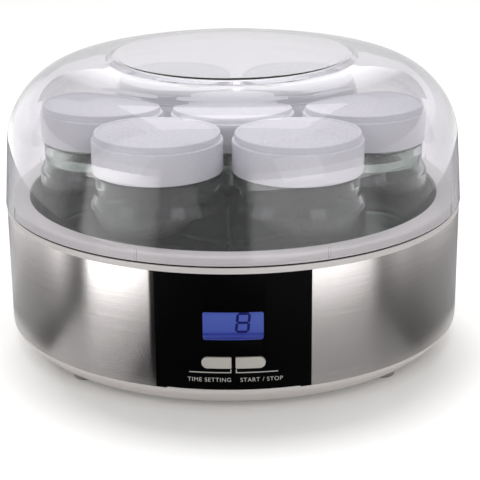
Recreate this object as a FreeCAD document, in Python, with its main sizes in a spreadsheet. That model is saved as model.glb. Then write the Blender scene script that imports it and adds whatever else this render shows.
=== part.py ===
import FreeCAD, Part
import Sketcher
import os
import re

# A yogurt maker: a round heated base with a control panel, a clear cover
# and seven glass jars with screw lids standing in a warming tub.
# Frame: millimetres, +Z up, origin on the table under the middle of the base,
# the control panel faces -Y.

doc = FreeCAD.newDocument("yogurt_maker")
sheet = doc.addObject("Spreadsheet::Sheet", "sizes")

# Driving sizes in millimetres, degrees or pieces.
driving_sizes = {
    "band_thickness": 0.6,  # sheet of the band
    "pan_rise": 9.1,  # lower edge of the band above the pan's underside
    "band_height": 61.6,  # height of the band
    "band_gap": 0.1,  # room between band and housing wall
    "rim_height": 3.1,  # rim above the band
    "seat_rise": 1.0,  # ledge of the cover above the rim
    "seat_setback": 0.8,  # that ledge behind the rim
    "ring_setback": 2.4,  # ring inside the cover behind the rim
    "ring_rise": 4.1,  # that ring above the ledge
    "ring_slope": 0.6,  # fall of the ring towards the tub
    "ring_wall": 2.2,  # thickness of the ring
    "ring_width": 10.2,  # width of the ring
    "housing_wall": 2.2,  # side wall behind the band
    "rim_round": 0.5,  # round on the rim and the mouth
    "upstand_round": 1.5,  # round on the ring's outer edge
    "pan_base": 3.0,  # underside of the bottom pan above the table
    "pan_slope": 7.6,  # width of the pan's slope
    "pan_floor": 2.5,  # thickness of the pan's floor
    "pan_land": 1.6,  # upright edge of the pan below the band
    "pan_round": 3.2,  # round between that edge and the slope
    "spigot_height": 8.0,  # wall of the pan inside the housing
    "spigot_wall": 2.0,  # thickness of that wall
    "spigot_gap": 0.2,  # room between that wall and the housing
    "tongue_inset": 2.6,  # end of the lip inside the panel's end, in degrees
    "tongue_height": 1.5,  # rise of that lip
    "tongue_gap": 0.1,  # room round that lip
    "vent_count": 12,  # slots in the pan's floor
    "vent_width": 2.4,  # width of a slot
    "vent_length": 15.0,  # length of a slot
    "vent_inset": 22.4,  # slots inside the flat underside's edge
    "tower_inset": 14.1,  # closing screws inside the housing wall
    "tower_radius": 4.5,  # screw tower
    "boss_height": 18.0,  # screw boss of the pan
    "tower_room": 6.0,  # room between a screw tower and the tub
    "tower_rib": 2.4,  # thickness of the rib that carries a tower
    "closing_depth": 12.0,  # depth of the screw recess in the pan
    "closing_recess": 3.3,  # radius of that recess
    "closing_hole": 1.7,  # radius of the clearance hole
    "closing_bore": 1.5,  # radius of the bore in the tower
    "closing_length": 18.0,  # length of a closing screw under its head
    "foot_inset": 15.0,  # feet inside the band
    "foot_radius": 6.5,  # rubber foot
    "foot_recess": 1.2,  # depth of its recess in the pan
    "foot_bevel": 1.0,  # bevel of its lower edge
    "foot_gap": 0.2,  # room round the foot in its recess
    "panel_angle": 18.0,  # half the sweep of the control panel
    "panel_side_gap": 0.1,  # room at each side of the panel, in degrees
    "panel_thickness": 1.6,  # control panel
    "panel_gap": 0.1,  # bond line behind and along the panel
    "window_width": 30.0,  # display window
    "window_height": 14.7,  # display window
    "window_drop": 27.2,  # middle of the window below the band's upper edge
    "window_sink": 0.15,  # window behind the panel's face
    "lens_gap": 0.1,  # room round the window
    "display_border": 2.0,  # display beyond the window at each side
    "display_edge": 1.65,  # display beyond the window above and below
    "display_thickness": 2.4,  # display behind the window
    "display_gap": 0.4,  # room round the display in the housing
    "button_width": 14.8,  # push button
    "button_height": 5.8,  # push button
    "button_rise": 15.2,  # middle of the buttons above the band's lower edge
    "button_split": 2.1,  # gap between the two buttons
    "button_gap": 0.3,  # room round a button
    "button_proud": 0.7,  # button in front of the panel
    "button_lip": 1.0,  # lip that keeps a button in
    "button_plate": 0.8,  # thickness of that lip
    "button_travel": 0.8,  # push of a button
    "board_setback": 8.2,  # control board behind the panel's face
    "board_thickness": 1.4,  # control board
    "board_side": 8.0,  # control board beyond its posts
    "board_below": 5.8,  # control board below the buttons' middle
    "board_above": 15.5,  # control board above the window's middle
    "post_radius": 3.0,  # post under the control board
    "post_room": 5.0,  # posts beyond the display
    "post_edge": 4.0,  # lower posts from the board's edge
    "post_head": 3.5,  # upper posts from the board's edge
    "switch_side": 6.0,  # push switch
    "switch_height": 1.8,  # push switch on the board
    "plunger_radius": 1.7,  # plunger of a switch
    "plunger_gap": 0.15,  # room round a plunger
    "plunger_hold": 0.5,  # plunger inside the switch at rest
    "bolt_head": 2.0,  # radius of a small screw's head
    "bolt_height": 1.6,  # height of a small screw's head
    "bolt_radius": 1.1,  # shank of a small screw
    "bolt_length": 3.6,  # shank of a board screw under its head
    "bolt_gap": 0.1,  # room round a shank
    "tub_depth": 26.9,  # floor of the tub below the ring's top
    "floor_thickness": 2.0,  # floor of the tub
    "tub_wall": 2.0,  # wall of the tub
    "tub_draft": 0.8,  # taper of the tub from mouth to floor
    "tub_round": 6.0,  # round between floor and wall
    "flange_drop": 7.1,  # flange of the tub below the ring
    "flange_thickness": 2.0,  # flange of the tub
    "flange_gap": 0.6,  # flange inside the ring
    "boss_inset": 5.2,  # flange screws inside the ring
    "boss_radius": 2.6,  # flange screw boss
    "flange_screws": 6,  # screws in the flange
    "flange_bolt": 7.5,  # length of a flange screw under its head
    "plate_inset": 12.4,  # heat spreader inside the tub's mouth
    "plate_thickness": 1.5,  # aluminium heat spreader
    "foil_inset": 4.0,  # foil heater inside the spreader's edge
    "foil_thickness": 0.8,  # foil heater
    "felt_inset": 2.0,  # felt inside the spreader's edge
    "felt_thickness": 4.0,  # insulating felt
    "stud_inset": 14.0,  # studs inside the spreader's edge
    "stud_radius": 3.0,  # stud under the tub
    "stud_count": 4,  # studs under the tub
    "stud_gap": 0.3,  # room round a stud
    "clamp_head": 5.5,  # washer head that holds the felt
    "clamp_height": 2.0,  # washer head that holds the felt
    "clamp_length": 5.0,  # shank in the stud
    "sensor_radius": 4.5,  # temperature sensor
    "sensor_length": 14.0,  # temperature sensor
    "sensor_flange": 8.0,  # flange below the felt
    "sensor_rim": 1.2,  # thickness of that flange
    "sensor_gap": 0.5,  # room round the sensor
    "fuse_radius": 2.2,  # thermal fuse
    "fuse_length": 12.0,  # thermal fuse
    "fuse_offset": 45.0,  # thermal fuse from the axis
    "supply_width": 84.0,  # power board
    "supply_depth": 56.0,  # power board
    "supply_centre": 34.0,  # middle of the power board behind the axis
    "supply_rise": 12.0,  # power board above the pan's underside
    "supply_thickness": 1.6,  # power board
    "supply_edge": 6.0,  # screws from the edges of the power board
    "core_width": 32.0,  # transformer core
    "core_depth": 27.0,  # transformer core
    "core_height": 20.0,  # transformer core
    "coil_width": 22.0,  # transformer winding
    "coil_depth": 36.0,  # transformer winding
    "coil_height": 15.0,  # transformer winding
    "relay_width": 19.0,  # relay
    "relay_depth": 15.5,  # relay
    "relay_height": 15.0,  # relay
    "capacitor_radius": 6.3,  # smoothing capacitor
    "capacitor_height": 17.0,  # smoothing capacitor
    "terminal_width": 20.0,  # mains terminal block
    "terminal_depth": 9.0,  # mains terminal block
    "terminal_height": 11.0,  # mains terminal block
    "terminal_bore": 2.0,  # wire entry of the block
    "gland_rise": 18.9,  # cord gland above the band's lower edge
    "gland_radius": 6.0,  # barrel of the cord gland
    "gland_bore": 3.6,  # bore for the cord
    "gland_hold": 8.0,  # length of that bore
    "gland_mouth": 4.2,  # wider mouth of the bore
    "gland_nut": 9.0,  # collar inside the wall
    "gland_length": 9.0,  # length of the collar
    "gland_gap": 0.1,  # room round the barrel
    "inlet_angle": 14.0,  # half the sweep of the gland's plate in the wall, in degrees
    "inlet_side_gap": 0.1,  # room beside that plate, in degrees
    "inlet_rise": 14.0,  # top of that plate above the middle of the gland
    "gland_proud": 0.2,  # barrel in front of the band
    "cover_overhang": 0.5,  # lower edge of the cover beyond the band
    "cover_draft": 4.7,  # wall of the cover leaning in up to its corner
    "crown_rise": 9.0,  # rise of the top from corner to disc
    "cover_shoulder": 40.7,  # round of the shoulder
    "crown_width": 52.8,  # top of the cover from corner to disc
    "disc_rise": 2.3,  # raised disc
    "disc_slope": 1.0,  # slope at the edge of the disc
    "cover_headroom": 27.9,  # cover above the jar lids
    "cover_disc_round": 0.8,  # round on the raised disc
    "cover_wall": 2.0,  # wall of the cover
    "cover_ribs": 8,  # locating ribs inside the cover
    "cover_rib_width": 1.2,  # locating rib
    "cover_rib_height": 5.7,  # locating rib
    "cover_rib_gap": 0.3,  # rib from the ring
    "jar_gap": 1.0,  # room between two jars
    "jar_margin": 5.2,  # room between jars and tub
    "jar_turn": -2.15,  # turn of the circle of jars
    "jar_radius": 35.4,  # glass body
    "jar_height": 71.0,  # glass jar without its lid
    "jar_wall": 2.6,  # glass wall
    "jar_floor": 4.0,  # glass floor
    "foot_land": 11.4,  # inside of the standing ring from the body
    "jar_rise": 1.5,  # hollow under the jar
    "jar_heel": 6.0,  # round at the foot of the jar
    "jar_inner_round": 5.0,  # round inside the foot
    "shoulder_drop": 5.5,  # shoulder below the collar
    "jar_shoulder_round": 4.0,  # round of the shoulder
    "collar_inset": 2.8,  # collar inside the body
    "collar_height": 10.0,  # glass collar
    "collar_room": 1.5,  # room between collar and lid
    "finish_inset": 1.7,  # screw neck inside the collar
    "finish_wall": 2.5,  # wall of the screw neck
    "mouth_drop": 6.0,  # end of the mouth below the collar's top
    "lid_overhang": 1.1,  # lid beyond the collar
    "lid_crown": 2.4,  # lid above its seat on the glass
    "lid_inside": 17.5,  # skirt's lower edge to the seat on the glass
    "lid_wall": 1.5,  # skirt of the jar lid
    "neck_gap": 0.4,  # room between neck and lid
    "guide_height": 2.5,  # height of that narrower inside
    "ledge_drop": 3.7,  # ledge below the lid's top
    "ledge_width": 1.4,  # ledge round the lid
    "lid_rim": 1.7,  # width of the raised rim
    "lid_dish": 0.8,  # dish of the lid's top
    "lid_bevel": 0.8,  # slope between rim and dish
    "lid_round": 0.7,  # round on the lid's edges
}

# Sizes and places that follow from them.
derived_sizes = {
    "band_bottom": "pan_base + pan_rise",  # lower edge of the band above the table
    "band_top": "band_bottom + band_height",  # upper edge of the band above the table
    "rim_top": "band_top + rim_height",  # top of the rim above the table
    "cover_seat": "rim_top + seat_rise",  # ledge that the cover stands on
    "upstand_top": "cover_seat + ring_rise",  # top of that ring
    "tongue_angle": "panel_angle - tongue_inset",  # half the sweep of the lip under the panel
    "tower_bottom": "pan_base + boss_height",  # where pan boss and screw tower meet
    "panel_slot": "panel_angle + panel_side_gap",  # half the sweep of the panel's recess
    "window_level": "band_top - window_drop",  # middle of the window above the table
    "display_width": "window_width + 2 * display_border",  # display behind the window
    "display_height": "window_height + 2 * display_edge",  # display behind the window
    "button_level": "band_bottom + button_rise",  # middle of the buttons above the table
    "board_bottom": "button_level - board_below",  # lower edge of the control board
    "board_top": "window_level + board_above",  # upper edge of the control board
    "post_offset": "display_width / 2 + post_room",  # posts from the middle
    "post_low": "board_bottom + post_edge",  # lower posts above the table
    "post_high": "board_top - post_head",  # upper posts above the table
    "tub_floor": "upstand_top - tub_depth",  # floor that the jars stand on
    "flange_top": "upstand_top - ring_slope - ring_wall - flange_drop",  # flange of the tub above the table
    "supply_level": "pan_base + supply_rise",  # underside of the power board above the table
    "gland_level": "band_bottom + gland_rise",  # cord gland above the table
    "jar_pitch": "2 * jar_radius + jar_gap",  # outer jars from the middle jar
    "jar_foot": "jar_radius - foot_land",  # inside of the ring that the jar stands on
    "collar_radius": "jar_radius - collar_inset",  # glass collar below the lid
    "collar_high": "jar_height - lid_inside - collar_room",  # upper end of the collar
    "finish_radius": "collar_radius - finish_inset",  # screw neck under the lid
    "mouth_radius": "finish_radius - finish_wall",  # mouth of the jar
    "mouth_low": "collar_high - mouth_drop",  # where the mouth opens into the body
    "lid_radius": "collar_radius + lid_overhang",  # skirt of the jar lid
    "lid_height": "lid_inside + lid_crown",  # jar lid
    "lid_guide": "finish_radius + neck_gap",  # upper inside of the skirt
    "lid_guide_low": "lid_inside - guide_height",  # lower end of that narrower inside
    "lid_ledge": "lid_height - ledge_drop",  # ledge round the lid
    "lid_top_radius": "lid_radius - ledge_width",  # top of the lid inside the ledge
    "opening_radius": "jar_pitch + jar_radius + jar_margin",  # mouth of the tub
    "tower_top": "tub_floor - floor_thickness - tower_room",  # upper end of a screw tower
    "board_width": "2 * (post_offset + board_side)",  # control board
    "plate_radius": "opening_radius - plate_inset",  # aluminium heat spreader
    "foil_radius": "plate_radius - foil_inset",  # foil heater
    "felt_radius": "plate_radius - felt_inset",  # insulating felt
    "stud_circle": "plate_radius - stud_inset",  # studs under the tub from the axis
    "cover_top": "tub_floor + jar_height + lid_height - lid_inside + cover_headroom",  # raised disc
    "collar_low": "collar_high - collar_height",  # lower end of the collar
    "upstand_radius": "opening_radius + ring_width",  # outside of the ring inside the cover
    "boss_circle": "upstand_radius - boss_inset",  # flange screws from the axis
    "cover_foot_height": "cover_top - disc_rise",  # foot of the raised disc
    "jar_shoulder": "collar_low - shoulder_drop",  # where the body starts to narrow
    "body_radius": "upstand_radius + ring_setback",  # outside of the steel band
    "seat_radius": "body_radius - seat_setback",  # outside of that ledge
    "pan_edge_radius": "body_radius - pan_slope",  # where the flat underside ends
    "vent_outer": "pan_edge_radius - vent_inset",  # outer end of a slot from the axis
    "wall_inside": "body_radius - band_thickness - band_gap - housing_wall",  # inside of the side wall
    "tower_circle": "wall_inside - tower_inset",  # closing screws from the axis
    "foot_circle": "body_radius - foot_inset",  # feet from the axis
    "board_front": "body_radius - board_setback",  # front of the control board from the axis
    "cover_radius": "body_radius + cover_overhang",  # lower edge of the cover
    "cover_corner_radius": "cover_radius - cover_draft",  # wall line at the corner height
    "cover_corner_height": "cover_foot_height - crown_rise",  # where wall and top would meet
    "cover_foot_radius": "cover_corner_radius - crown_width",  # foot of the raised disc
    "cover_disc_radius": "cover_foot_radius - disc_slope",  # raised disc on the top
    "vent_inner": "vent_outer - vent_length",  # inner end of a slot from the axis
}

cells = [(alias, str(amount)) for alias, amount in driving_sizes.items()]
cells += [(alias, "=" + formula) for alias, formula in derived_sizes.items()]
for row, (alias, content) in enumerate(cells, start=1):
    sheet.set("A%d" % row, alias.replace("_", " "))
    sheet.set("B%d" % row, content)
    sheet.setAlias("B%d" % row, alias)
doc.recompute()

sub_parts = []


def expression(text):
    """The text with each alias written as a cell of the sheet."""
    return re.sub(r"[a-z]+(_[a-z]+)+", lambda word: "sizes." + word.group(), text)


def number(text):
    """The present value of an expression."""
    return FreeCAD.Units.Quantity(sheet.evalExpression(expression(text))).Value


def bind(item, **texts):
    """Bind properties of an item to expressions."""
    for name, text in texts.items():
        item.setExpression(name, expression(text))


def place(item, x="0", y="0", z="0"):
    """Bind the position of an item."""
    for axis, text in zip("xyz", (x, y, z)):
        item.setExpression("Placement.Base." + axis, expression(text))


def polar(radius, angle, across="0"):
    """A point at a radius and angle, moved sideways by a distance."""
    x = "(%s) * cos(%s) - (%s) * sin(%s)" % (radius, angle, across, angle)
    y = "(%s) * sin(%s) + (%s) * cos(%s)" % (radius, angle, across, angle)
    return x, y


def keep(item, label):
    """Make an item a sub-part with its own label."""
    item.Label = label
    sub_parts.append(item)
    return item


def new_body(label):
    return keep(doc.addObject("PartDesign::Body", label), label)


def origin_item(body, role):
    return next(item for item in body.Origin.OriginFeatures if item.Role == role)


def new_sketch(body, name, plane, offset="0"):
    sketch = body.newObject("Sketcher::SketchObject", name + "_sketch")
    sketch.AttachmentSupport = (origin_item(body, plane), [""])
    sketch.MapMode = "FlatFace"
    sketch.setExpression("AttachmentOffset.Base.z", expression(offset))
    return sketch


def fix(sketch, kind, geometry, point, text):
    """Hold one coordinate of a point at an expression."""
    limit = Sketcher.Constraint(kind, -1, 1, geometry, point, number(text))
    index = sketch.addConstraint(limit)
    sketch.setExpression("Constraints[%d]" % index, expression(text))


def join(sketch, first, second):
    """Let the end of one piece be the start of the next."""
    sketch.addConstraint(Sketcher.Constraint("Coincident", first, 2, second, 1))


def add_loop(sketch, corners):
    """A closed outline of straight sides."""
    first = sketch.GeometryCount
    points = [FreeCAD.Vector(number(x), number(y), 0) for x, y in corners]
    for here, there in zip(points, points[1:] + points[:1]):
        sketch.addGeometry(Part.LineSegment(here, there), False)
    for step, (x, y) in enumerate(corners):
        join(sketch, first + step, first + (step + 1) % len(corners))
        fix(sketch, "DistanceX", first + step, 1, x)
        fix(sketch, "DistanceY", first + step, 1, y)


def add_box(sketch, left, right, low, high):
    add_loop(sketch, [(left, low), (right, low), (right, high), (left, high)])


def add_circle(sketch, x, y, radius):
    centre = FreeCAD.Vector(number(x), number(y), 0)
    circle = Part.Circle(centre, FreeCAD.Vector(0, 0, 1), number(radius))
    index = sketch.addGeometry(circle, False)
    fix(sketch, "DistanceX", index, 3, x)
    fix(sketch, "DistanceY", index, 3, y)
    size = sketch.addConstraint(Sketcher.Constraint("Radius", index, number(radius)))
    sketch.setExpression("Constraints[%d]" % size, expression(radius))


def finish(body, feature):
    doc.recompute()
    body.Tip = feature
    return feature


def revolve(body, name, corners, angle=None, plane="XZ_Plane", kind="Revolution"):
    """Turn an outline about the Z axis: right round, or by an angle about the plane."""
    sketch = new_sketch(body, name, plane)
    add_loop(sketch, corners)
    feature = body.newObject("PartDesign::" + kind, name)
    feature.Profile = sketch
    feature.ReferenceAxis = (sketch, ["V_Axis"])
    feature.Midplane = angle is not None
    bind(feature, Angle=angle or "360")
    return finish(body, feature)


def extrude(body, name, sketch, length, reverse=False, kind="Pad"):
    feature = body.newObject("PartDesign::" + kind, name)
    feature.Profile = sketch
    feature.Reversed = reverse
    bind(feature, Length=length)
    return finish(body, feature)


def repeat(body, name, features, count):
    pattern = body.newObject("PartDesign::PolarPattern", name)
    pattern.Originals = features
    pattern.Axis = (origin_item(body, "Z_Axis"), [""])
    pattern.Angle = 360
    bind(pattern, Occurrences=count)
    return finish(body, pattern)


def round_rings(body, name, rings, radius):
    """Round the circular edges that run at the given radii and heights."""
    wanted = [(number(ring), number(level)) for ring, level in rings]
    base = body.Tip
    edges = []
    for index, edge in enumerate(base.Shape.Edges, start=1):
        if not isinstance(edge.Curve, Part.Circle):
            continue
        at = (edge.Curve.Radius, edge.Curve.Center.z)
        if any(abs(at[0] - r) + abs(at[1] - z) < 1e-4 for r, z in wanted):
            edges.append("Edge%d" % index)
    feature = body.newObject("PartDesign::Fillet", name)
    feature.Base = (base, edges)
    bind(feature, Radius=radius)
    return finish(body, feature)


def box(name, x, y, z, width, depth, height):
    """A block with its middle at x and y and its underside at z."""
    item = doc.addObject("Part::Box", name)
    bind(item, Length=width, Width=depth, Height=height)
    place(item, "%s - (%s) / 2" % (x, width), "%s - (%s) / 2" % (y, depth), z)
    return item


def cylinder(name, radius, height, x="0", y="0", z="0", axis="z"):
    """A cylinder from a point along +X, +Y or +Z."""
    turns = {"x": ((0, 1, 0), 90), "y": ((1, 0, 0), -90), "z": ((0, 0, 1), 0)}
    item = doc.addObject("Part::Cylinder", name)
    direction, angle = turns[axis]
    item.Placement.Rotation = FreeCAD.Rotation(FreeCAD.Vector(*direction), angle)
    bind(item, Radius=radius, Height=height)
    place(item, x, y, z)
    return item


def boolean(name, kind, base, tool):
    item = doc.addObject("Part::" + kind, name)
    item.Base = base
    item.Tool = tool
    return item


def group(label, items):
    item = doc.addObject("Part::Compound", label)
    item.Links = items
    return keep(item, label)


def upward_screw(name, x, y, seat, head, height, shank, length):
    """A screw driven from below, its head under the seat."""
    lower = cylinder(name + "_head", head, height, x, y, "%s - (%s)" % (seat, height))
    upper = cylinder(name + "_shank", shank, length, x, y, seat)
    return boolean(name, "Fuse", lower, upper)


# Places that several pieces share.
wall_outside = "(body_radius - band_thickness - band_gap)"
panel_back = "(body_radius - panel_thickness)"
panel_recess = "(body_radius - panel_thickness - panel_gap)"
ring_underside = "(upstand_top - ring_slope - ring_wall)"
ring_inside = "(upstand_radius - ring_wall)"
tub_underside = "(tub_floor - floor_thickness)"
plate_underside = "(tub_floor - floor_thickness - plate_thickness)"
foil_underside = "(tub_floor - floor_thickness - plate_thickness - foil_thickness)"
felt_underside = "(%s - felt_thickness)" % foil_underside
supply_top = "(supply_level + supply_thickness)"
in_front = "(body_radius + button_proud + panel_thickness)"
button_inner = "(button_split / 2)"
button_outer = "(button_split / 2 + button_width)"
button_back = "(sqrt(wall_inside ^ 2 - (%s + button_lip) ^ 2) - button_gap)" % button_outer
lip_back = "(%s - button_plate)" % button_back
display_face = "(sqrt(%s ^ 2 - (display_width / 2) ^ 2) - panel_gap)" % panel_back
display_back = "(%s - display_thickness)" % display_face
post_places = [(side + "post_offset", level) for level in ("post_low", "post_high") for side in ("-", "")]
supply_places = [
    (side + "(supply_width / 2 - supply_edge)", "supply_centre" + end + "(supply_depth / 2 - supply_edge)")
    for end in (" - ", " + ")
    for side in ("-", "")
]


def button_outline(sketch, side, room):
    """A button's outline: square towards the middle, round at the outer end."""
    inner = "%s (%s - (%s))" % (side, button_inner, room)
    middle = "%s (%s - button_height / 2)" % (side, button_outer)
    low = "button_level - button_height / 2 - (%s)" % room
    high = "button_level + button_height / 2 + (%s)" % room
    corners = [(middle, low), (inner, low), (inner, high), (middle, high)]
    points = [FreeCAD.Vector(number(x), number(y), 0) for x, y in corners]
    first = sketch.GeometryCount
    for here, there in zip(points, points[1:]):
        sketch.addGeometry(Part.LineSegment(here, there), False)
    reach = number("button_height / 2 + (%s)" % room)
    outward = 1 if side == "+" else -1
    top = points[0] + FreeCAD.Vector(outward * reach, reach, 0)
    sketch.addGeometry(Part.Arc(points[0], top, points[3]), False)
    start, end = (1, 2) if outward > 0 else (2, 1)
    join(sketch, first, first + 1)
    join(sketch, first + 1, first + 2)
    sketch.addConstraint(Sketcher.Constraint("Coincident", first + 2, 2, first + 3, end))
    sketch.addConstraint(Sketcher.Constraint("Coincident", first, 1, first + 3, start))
    for step in range(3):
        fix(sketch, "DistanceX", first + step, 1, corners[step][0])
        fix(sketch, "DistanceY", first + step, 1, corners[step][1])
    fix(sketch, "DistanceX", first + 2, 2, middle)
    fix(sketch, "DistanceY", first + 2, 2, high)
    fix(sketch, "DistanceX", first + 3, 3, middle)


def make_upper_housing():
    """Moulded side wall, rim and ring, with the panel recess, posts, bosses and towers."""
    body = new_body("upper_housing")
    revolve(body, "housing_shell", [
        ("wall_inside", "band_bottom"),
        (wall_outside, "band_bottom"),
        (wall_outside, "band_top"),
        ("body_radius", "band_top"),
        ("body_radius", "rim_top"),
        ("seat_radius", "rim_top"),
        ("seat_radius", "cover_seat"),
        ("upstand_radius", "cover_seat"),
        ("upstand_radius", "upstand_top"),
        ("opening_radius", "upstand_top - ring_slope"),
        ("opening_radius", ring_underside),
        (ring_inside, ring_underside),
        (ring_inside, "band_top"),
        ("wall_inside", "band_top"),
    ])
    rim_rings = [("body_radius", "rim_top"), ("opening_radius", "upstand_top - ring_slope")]
    round_rings(body, "rim_rounds", rim_rings, "rim_round")
    round_rings(body, "ring_round", [("upstand_radius", "upstand_top")], "upstand_round")
    revolve(body, "panel_seat", [
        ("-" + in_front, "band_bottom - pan_land"),
        ("-" + panel_recess, "band_bottom - pan_land"),
        ("-" + panel_recess, "band_top"),
        ("-" + in_front, "band_top"),
    ], "2 * panel_slot", "YZ_Plane", "Groove")
    openings = new_sketch(body, "front_openings", "XZ_Plane", in_front)
    half_display = "(display_width / 2 + display_gap)"
    display_rise = "(display_height / 2 + display_gap)"
    add_box(openings, "-" + half_display, half_display,
            "window_level - " + display_rise, "window_level + " + display_rise)
    half_buttons = "(%s + button_gap)" % button_outer
    button_rise = "(button_height / 2 + button_gap)"
    add_box(openings, "-" + half_buttons, half_buttons,
            "button_level - " + button_rise, "button_level + " + button_rise)
    extrude(body, "front_openings", openings, "%s - board_front" % in_front, kind="Pocket")
    posts = new_sketch(body, "board_posts", "XZ_Plane", "board_front")
    for x, z in post_places:
        add_circle(posts, x, z, "post_radius")
    post_reach = "sqrt(%s ^ 2 - (post_offset + post_radius) ^ 2) - board_front - panel_gap" % panel_recess
    extrude(body, "board_posts", posts, post_reach)
    bores = new_sketch(body, "post_bores", "XZ_Plane", "board_front")
    for x, z in post_places:
        add_circle(bores, x, z, "bolt_radius + bolt_gap")
    extrude(body, "post_bores", bores, "bolt_length - board_thickness + bolt_gap", True, "Pocket")
    boss_sketch = new_sketch(body, "flange_boss", "XY_Plane", "flange_top")
    add_circle(boss_sketch, "boss_circle", "0", "boss_radius")
    boss = extrude(body, "flange_boss", boss_sketch, ring_underside + " - flange_top")
    bore_sketch = new_sketch(body, "flange_bore", "XY_Plane", "flange_top")
    add_circle(bore_sketch, "boss_circle", "0", "bolt_radius + bolt_gap")
    bore_depth = "flange_bolt - flange_thickness + bolt_gap"
    bore = extrude(body, "flange_bore", bore_sketch, bore_depth, True, "Pocket")
    repeat(body, "flange_bosses", [boss, bore], "flange_screws")
    rib_sketch = new_sketch(body, "tower_web", "XY_Plane", "tower_bottom")
    add_box(rib_sketch, "tower_circle", "wall_inside + housing_wall / 2",
            "-tower_rib / 2", "tower_rib / 2")
    rib = extrude(body, "tower_web", rib_sketch, "tower_top - tower_bottom")
    tower_sketch = new_sketch(body, "tower", "XY_Plane", "tower_bottom")
    add_circle(tower_sketch, "tower_circle", "0", "tower_radius")
    tower = extrude(body, "tower", tower_sketch, "tower_top - tower_bottom")
    hole_sketch = new_sketch(body, "tower_hole", "XY_Plane", "tower_bottom")
    add_circle(hole_sketch, "tower_circle", "0", "closing_bore")
    hole_depth = "pan_base + closing_depth + closing_length - tower_bottom + bolt_gap"
    hole = extrude(body, "tower_hole", hole_sketch, hole_depth, True, "Pocket")
    repeat(body, "towers", [rib, tower, hole], "3")
    slot_top = "gland_level + inlet_rise + gland_gap"
    revolve(body, "inlet_slot", [
        ("wall_inside - housing_wall", "band_bottom - pan_land"),
        (in_front, "band_bottom - pan_land"),
        (in_front, slot_top),
        ("wall_inside - housing_wall", slot_top),
    ], "2 * (inlet_angle + inlet_side_gap)", "YZ_Plane", "Groove")


def make_steel_band():
    """Sheet steel band from one side of the control panel round to the other."""
    body = new_body("steel_band")
    inside = "body_radius - band_thickness"
    revolve(body, "band_sheet", [
        (inside, "band_bottom"),
        ("body_radius", "band_bottom"),
        ("body_radius", "band_top"),
        (inside, "band_top"),
    ], "360 - 2 * panel_slot", "YZ_Plane")
    inlet = new_sketch(body, "band_hole", "XZ_Plane", "-" + in_front)
    add_circle(inlet, "0", "gland_level", "gland_radius + gland_gap")
    extrude(body, "band_hole", inlet, "%s - wall_inside" % in_front, True, "Pocket")


def make_bottom_pan():
    """Bottom pan with its lip under the panel, screw bosses, foot recesses and vents."""
    body = new_body("bottom_pan")
    outside = "(wall_inside - spigot_gap)"
    inside = "(wall_inside - spigot_gap - spigot_wall)"
    slope_top = "band_bottom - pan_land"
    revolve(body, "pan_shell", [
        ("0", "pan_base"),
        ("pan_edge_radius", "pan_base"),
        ("body_radius", slope_top),
        ("body_radius", "band_bottom"),
        (outside, "band_bottom"),
        (outside, "band_bottom + spigot_height"),
        (inside, "band_bottom + spigot_height"),
        (inside, slope_top),
        ("pan_edge_radius - spigot_wall", "pan_base + pan_floor"),
        ("0", "pan_base + pan_floor"),
    ])
    round_rings(body, "pan_round", [("body_radius", slope_top)], "pan_round")
    revolve(body, "tongue", [
        ("-body_radius", "band_bottom"),
        ("-(%s + tongue_gap)" % panel_recess, "band_bottom"),
        ("-(%s + tongue_gap)" % panel_recess, "band_bottom + tongue_height"),
        ("-body_radius", "band_bottom + tongue_height"),
    ], "2 * tongue_angle", "YZ_Plane")
    boss_sketch = new_sketch(body, "pan_boss", "XY_Plane", "pan_base")
    add_circle(boss_sketch, "tower_circle", "0", "tower_radius")
    boss = extrude(body, "pan_boss", boss_sketch, "tower_bottom - pan_base")
    recess_sketch = new_sketch(body, "pan_recess", "XY_Plane", "pan_base")
    add_circle(recess_sketch, "tower_circle", "0", "closing_recess")
    recess = extrude(body, "pan_recess", recess_sketch, "closing_depth", True, "Pocket")
    hole_sketch = new_sketch(body, "pan_hole", "XY_Plane", "pan_base")
    add_circle(hole_sketch, "tower_circle", "0", "closing_hole")
    hole = extrude(body, "pan_hole", hole_sketch, "tower_bottom - pan_base", True, "Pocket")
    repeat(body, "pan_bosses", [boss, recess, hole], "3")
    foot_sketch = new_sketch(body, "foot_seat", "XY_Plane", "pan_base")
    foot_x, foot_y = polar("foot_circle", "45")
    add_circle(foot_sketch, foot_x, foot_y, "foot_radius + foot_gap")
    seat = extrude(body, "foot_seat", foot_sketch, "foot_recess", True, "Pocket")
    repeat(body, "foot_seats", [seat], "4")
    vent_sketch = new_sketch(body, "vent", "XY_Plane", "pan_base")
    vent_turn = "180 / vent_count"
    half_vent = "vent_width / 2"
    add_loop(vent_sketch, [
        polar("vent_inner", vent_turn, "-" + half_vent),
        polar("vent_outer", vent_turn, "-" + half_vent),
        polar("vent_outer", vent_turn, half_vent),
        polar("vent_inner", vent_turn, half_vent),
    ])
    vent = extrude(body, "vent", vent_sketch, "pan_floor", True, "Pocket")
    repeat(body, "vents", [vent], "vent_count")
    posts = new_sketch(body, "supply_posts", "XY_Plane", "pan_base")
    for x, y in supply_places:
        add_circle(posts, x, y, "post_radius")
    extrude(body, "supply_posts", posts, "supply_level - pan_base")
    bores = new_sketch(body, "supply_bores", "XY_Plane", "supply_level")
    for x, y in supply_places:
        add_circle(bores, x, y, "bolt_radius + bolt_gap")
    extrude(body, "supply_bores", bores, "bolt_length - supply_thickness + bolt_gap", kind="Pocket")


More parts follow.
